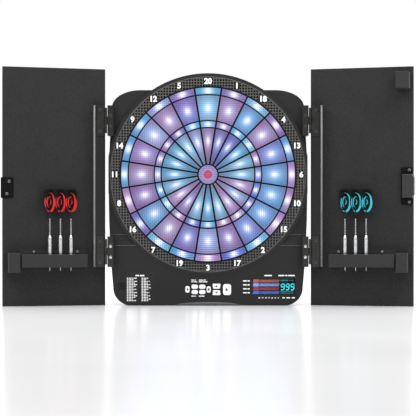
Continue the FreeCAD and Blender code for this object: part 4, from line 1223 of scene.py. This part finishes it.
def add_door_screws(side, word):
    """Pan heads for the holders and catch, countersunk heads in the hinge leaves."""
    back = door_matrix(side).inverted()
    sunk, domed = [], []
    for cloud in solids(f"{word}_door_screws"):
        low, high = corners([back @ point for point in cloud])
        head = Vector(((low.x + high.x) / 2, high.y, (low.z + high.z) / 2))
        if (high.z - low.z) / 2 < (FLAT_HEAD_R + PAN_HEAD_R) / 2:
            sunk.append(door_matrix(side) @ head)
        else:
            domed.append(door_matrix(side) @ (head - Vector((0, PAN_RISE + HEAD_CLEAR, 0))))
    flat = screw_template("flat head", FLAT_HEAD_R, 0, FLAT_SINK, DOOR_FLAT_L)
    dome = screw_template("pan head", PAN_HEAD_R, PAN_RISE, 0, DOOR_PAN_L)
    inwards = door_way(side, (0, 1, 0))
    parts = [screws("flat screws", flat, sunk, inwards, SCREW_DARK_AND_SHADE, 1.1),
             screws("pan screws", dome, domed, inwards, SCREW, 0.7)]
    add(merged(f"{word}_cross_head_screws", parts), f"{word}_door", "steel", f"{word}_door_screws")


def add_board_screws():
    """Countersunk heads in the board's hinge leaves, the upper ones given painted shade, and the pan heads that
    close the case.
    """
    flat = screw_template("bright flat head", FLAT_HEAD_R, 0, FLAT_SINK, BOARD_FLAT_L)
    lower, upper = [], []
    for low, high in map(corners, solids("board_hinge_screws")):
        point = Vector(((low.x + high.x) / 2, low.y, (low.z + high.z) / 2))
        (lower if point.z < DIAL_Z else upper).append(point)
    # The lower screws take the bright finish; the upper ones take the dark finish as painted shade in their
    # recess.
    parts = [screws("bright", flat, lower, (0, -1, 0), SCREW_BRIGHT, 1.3),
             screws("dark", flat, upper, (0, -1, 0), SCREW_DARK_AND_SHADE, 1.3)]
    add(merged("board_cross_head_screws", parts), "housing", "steel", "board_hinge_screws")
    pan = screw_template("case pan head", PAN_HEAD_R, CASE_PAN_RISE, 0, CASE_PAN_L)
    heads = [Vector(((low.x + high.x) / 2, high.y - CASE_PAN_RISE - CASE_HEAD_CLEAR, (low.z + high.z) / 2))
             for low, high in map(corners, solids("case_screws"))]
    made = screws("case_cross_head_screws", pan, heads, (0, 1, 0), SCREW_DARK_AND_SHADE, 0.9)
    add(made, "housing", "steel", "case_screws")


def add_doors():
    for side, word in SIDES:
        eased(f"{word}_door_panel", f"{word}_door_board", DOOR, 0.5 * MM)
        batten = eased(f"{word}_hinge_batten", f"{word}_batten", BATTEN, 0.4 * MM)
        # The batten's outer side face gets the light grey finish as a painted reflection.
        outer = door_way(side, (1, 0, 0))
        second_finish(batten, lambda face: face.normal.dot(outer) > 0.95, BATTEN_SIDE_REFLECTION)
        eased(f"{word}_door_hinge_leaves", f"{word}_leaves", HARDWARE, 0.22 * MM, segments=1)
        eased(f"{word}_dart_holder", f"{word}_holder_bar", HOLDER, 0.6 * MM)
        eased(f"{word}_spacer_blocks", f"{word}_stop_blocks", HOLDER, 0.6 * MM)
        add_door_screws(side, word)
    eased("left_strike_plate", "left_strike", BLACK_METAL, 0.25 * MM)
    catch = eased("right_catch_housing", "right_catch", GREY, 0.5 * MM)
    back = door_matrix(1).inverted()
    foot = min((back @ v.co).y for v in catch.data.vertices)
    second_finish(catch, lambda face: (back @ face.center).y < foot + CATCH_BASE, BLACK_METAL)
    eased("right_catch_magnet", "right_magnet", MAGNET, 0.2 * MM)
    eased("board_hinge_leaves", "board_leaves", HARDWARE, 0.22 * MM, segments=1)
    add_board_screws()


# ------------------------------------------------------------------ darts
# These are in millimetres, as are the outlines of a dart
BARREL_R = 3.55
POINT_L = 24.8                            # soft point, up to the barrel
GRIP_OVER = 0.35                          # the grip above the holder is this much thicker
GROOVE_R = 1.45                           # the shaft's faces inside this radius, the bottoms of its rings, get painted shade
STEM_L = 27.4
FLIGHT_HALF = 16.5
FLIGHT_T = 0.45
INK_FILM_T = 0.05
WING_TURN = 32.0                          # the wings, turned from the door's plane, in degrees
FLIGHT_UP = 8.0                           # the wings start this far up the stem
# Each stroke of the print: half width, half height, start and end, thickness, height of its middle
SWIRL = ((13.2, 18.2, -122, 98, 5.2, 0), (12.4, 17.2, 150, 228, 3.0, 0), (7.4, 10.4, 66, 282, 3.4, 0),
         (3.4, 4.8, -118, 112, 3.0, 0.6))


def in_metres(rows):
    return [(r * MM, h * MM) for r, h in rows]


def dart_profile(tip, top):
    """A soft point, a waisted nose, a grooved barrel with its cone, and a ringed metal shaft."""
    foot = tip + POINT_L
    r = BARREL_R
    rows = [(0, tip), (0.42, tip + 0.4), (0.8, tip + 6), (1.15, tip + 13), (1.45, foot - 7),
            (1.95, foot - 5.6), (1.95, foot - 0.1), (r - 0.5, foot), (r - 0.1, foot + 0.5)]
    z = foot + 2.0
    for group in range(3):
        for _ in range(5):
            rows += [(r - 0.02, z), (r - 0.16, z + 0.25), (r - 0.16, z + 0.75), (r - 0.02, z + 1.0)]
            z += 1.55
        z += 4.6
        if group == 0:
            r += GRIP_OVER
    shoulder = foot + 39.0
    rows += [(r - 0.02, shoulder), (r - 0.5, shoulder + 1.4), (2.25, shoulder + 5.6), (1.62, shoulder + 6.2)]
    z = shoulder + 7.5
    while z < top - 3.4:
        rows += [(1.32, z), (1.32, z + 0.9), (1.68, z + 1.25), (1.68, z + 2.2)]
        z += 3.1
    return in_metres(rows + [(1.68, top - 0.4), (1.3, top), (0, top)])


def stem_profile(foot):
    """The flight's moulded stem, which sits on the shaft."""
    return in_metres([(1.2, foot), (1.95, foot + 0.3), (1.95, foot + 2.2), (1.55, foot + 2.8),
                      (1.5, foot + 7.0), (1.9, foot + 7.6), (1.9, foot + 24), (1.2, foot + 27),
                      (0, foot + STEM_L)])


def crescent(a, b, start, end, thick, lift, middle, steps=18):
    """A tapering stroke along an ellipse, as pairs of (s, z) points."""
    pairs = []
    for k in range(steps + 1):
        t = k / steps
        angle = radians(start + (end - start) * t)
        width = thick * (0.18 + 0.82 * sin(pi * min(t * 1.15, 1.0)) ** 0.8) / 2
        pairs.append([(r * cos(angle), middle + lift + up * sin(angle))
                      for r, up in ((a + width, b + width), (a - width, b - width))])
    return pairs


def flight_outline(w, h):
    """One pair of wings, corners rounded: from the stem out to the tips."""
    half = [(1.1, 0.0), (2.4, 1.2), (w * 0.93, h * 0.36), (w * 0.985, h * 0.40), (w, h * 0.46), (w, h * 0.82),
            (w * 0.985, h * 0.87), (w * 0.94, h * 0.915), (w * 0.80, h * 0.985), (w * 0.72, h)]
    return half + [(-x, z) for x, z in reversed(half)]


def wings(height):
    """One pair of wings of a flight, as a film."""
    bm = bmesh.new()
    bm.faces.new([bm.verts.new((s, 0, z)) for s, z in in_metres(flight_outline(FLIGHT_HALF, height))])
    return thickened(from_bmesh("wings", bm, FILM_BLACK), FLIGHT_T * MM)


def swirl(height, flip, material):
    """The print on both faces of a pair of wings."""
    bm = bmesh.new()
    face_y = FLIGHT_T / 2 + 0.045
    for stroke in SWIRL:
        pairs = crescent(*stroke, middle=height * 0.49)
        for y in (-face_y, face_y):
            rows = [[bm.verts.new((flip * s * MM, y * MM, z * MM)) for s, z in two] for two in pairs]
            for a, b in zip(rows, rows[1:]):
                around = (a[0], b[0], b[1], a[1])
                bm.faces.new(around if y < 0 else around[::-1])
    return thickened(link("print", mesh_of("print", bm), material), INK_FILM_T * MM)


def add_dart(side, word, number):
    dart, flight = f"{word}_dart_{number}", f"{word}_dart_flight_{number}"
    low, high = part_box(dart)
    x, y = (low.x + high.x) / 2, (low.y + high.y) / 2
    profile = dart_profile(low.z / MM, high.z / MM)
    body = lathe(f"{word}_dart_body_{number}", profile, (x, y, 0), (0, 0, 1), STEEL, 28)
    verts = body.data.vertices

    def in_groove(face):
        reach = max(Vector((verts[v].co.x - x, verts[v].co.y - y)).length for v in face.vertices)
        return reach < GROOVE_R * MM and face.center.z > low.z + POINT_L * MM

    # Painted shade: the groove bottoms of the ringed shaft take the darker metal.
    second_finish(body, in_groove, GROOVE_SHADE)
    add(body, dart, "dart_metal", dart)
    low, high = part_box(flight)
    height = (high.z - low.z) / MM - FLIGHT_UP
    films, prints = [lathe("stem", stem_profile(low.z / MM), (x, y, 0), (0, 0, 1), FILM_BLACK, 16)], []
    for pair, flip in enumerate((-1, 1)):
        turn = radians(WING_TURN + 90 * pair) - OPEN_ANGLE
        place = Matrix.Translation((x, y, low.z + FLIGHT_UP * MM)) @ Matrix.Rotation(-side * turn, 4, "Z")
        films.append(wings(height))
        prints.append(swirl(height, flip, RED_PRINT if side < 0 else CYAN_PRINT))
        for obj in (films[-1], prints[-1]):
            obj.data.transform(place)
            with editing(obj.data) as bm:
                bmesh.ops.recalc_face_normals(bm, faces=bm.faces)
    add(merged(f"{word}_flight_{number}", films + prints), dart, "flight_film", flight)


def add_darts():
    for side, word in SIDES:
        for number in (1, 2, 3):
            add_dart(side, word, number)


# ------------------------------------------------------------------ stage and light
FLOOR_SIZE = 30.0
FLOOR_DOWN = 0.0004
STUDIO_WHITE = 1.0
FRONT_LOW = 0.26                          # the room before the cabinet, low down and higher up
FRONT_HIGH = 0.95
OVERHEAD = 1.6
SOFTBOX_WATTS = 7.5
SOFTBOX_SIZE = (0.7, 0.5)
SOFTBOX_PLACE = Vector((0.80, -0.62, 1.15))
SOFTBOX_AIM = Vector((0.22, -0.05, 0.30))


def add_floor():
    """A wide pale floor, faintly glossy, under the cabinet."""
    bm = bmesh.new()
    bmesh.ops.create_grid(bm, x_segments=2, y_segments=2, size=FLOOR_SIZE / 2)
    f = Finish("pale floor", specular_ior_level=0.5)
    cloud = f.noise(3.0)
    f.set(base_color=f.mix(cloud, (0.86, 0.86, 0.87), (0.88, 0.88, 0.885)), roughness=0.16 + cloud * 0.04)
    floor = from_bmesh("floor", bm, f.material)
    floor.data.transform(Matrix.Translation((0, 0, cad_box[0].z - FLOOR_DOWN)))


def add_softbox(side, word):
    """A soft area light above and before one of the doors."""
    data = bpy.data.lights.new(f"{word} softbox", "AREA")
    data.shape = "RECTANGLE"
    data.size, data.size_y = SOFTBOX_SIZE
    data.energy = SOFTBOX_WATTS
    softbox = bpy.data.objects.new(f"{word} softbox", data)
    place, aim = (Vector((side * point.x, point.y, point.z)) for point in (SOFTBOX_PLACE, SOFTBOX_AIM))
    softbox.location = place
    softbox.rotation_euler = (aim - place).to_track_quat("-Z", "Y").to_euler()
    bpy.context.scene.collection.objects.link(softbox)


def add_world():
    """A white studio: bright behind the cabinet and overhead, dimmer before it and low down."""
    world = bpy.data.worlds.new("studio")
    bpy.context.scene.world = world
    world.use_nodes = True
    studio = Graph(world.node_tree)
    _, y, z = studio.split(studio.node("ShaderNodeTexCoord", out="Generated"))
    behind = y.step(-0.2, 0.2) * STUDIO_WHITE
    front = z.step(-0.1, 0.6) * (FRONT_HIGH - FRONT_LOW) + FRONT_LOW
    above = z.step(0.55, 1.0) * OVERHEAD
    background = studio.tree.nodes["Background"]
    studio.feed(background.inputs["Color"], (1.0, 1.0, 1.0))
    studio.feed(background.inputs["Strength"], behind.max(front) + above)


def add_stage():
    add_floor()
    add_world()
    for side, word in SIDES:
        add_softbox(side, word)
    bpy.context.scene.view_settings.view_transform = "Standard"


# ------------------------------------------------------------------ finish of the CAD pieces
SLOT_FINISH = {"black_abs": BLACK, "door_board": DOOR, "rubber": WHITE, "circuit_board": BOARD,
               "steel": SCREW, "black_metal": BLACK_METAL, "grey_plastic": GREY, "magnet": MAGNET,
               "white_rubber": WHITE, "dart_metal": STEEL}


def paint_all():
    for node, slot in SLOT_OF.items():
        if slot in SLOT_FINISH:
            paint(node, SLOT_FINISH[slot])
    # The sensor mat is painted near-black, so the gaps between the segments show painted shade.
    paint("sensor_mat", PIT)


add_camera()
add_stage()
paint_all()
add_dial()
add_number_ring()
add_housing()
add_lip()
add_beads()
add_keys()
add_legend()
add_key_labels()
add_display()
add_display_labels()
add_doors()
add_darts()
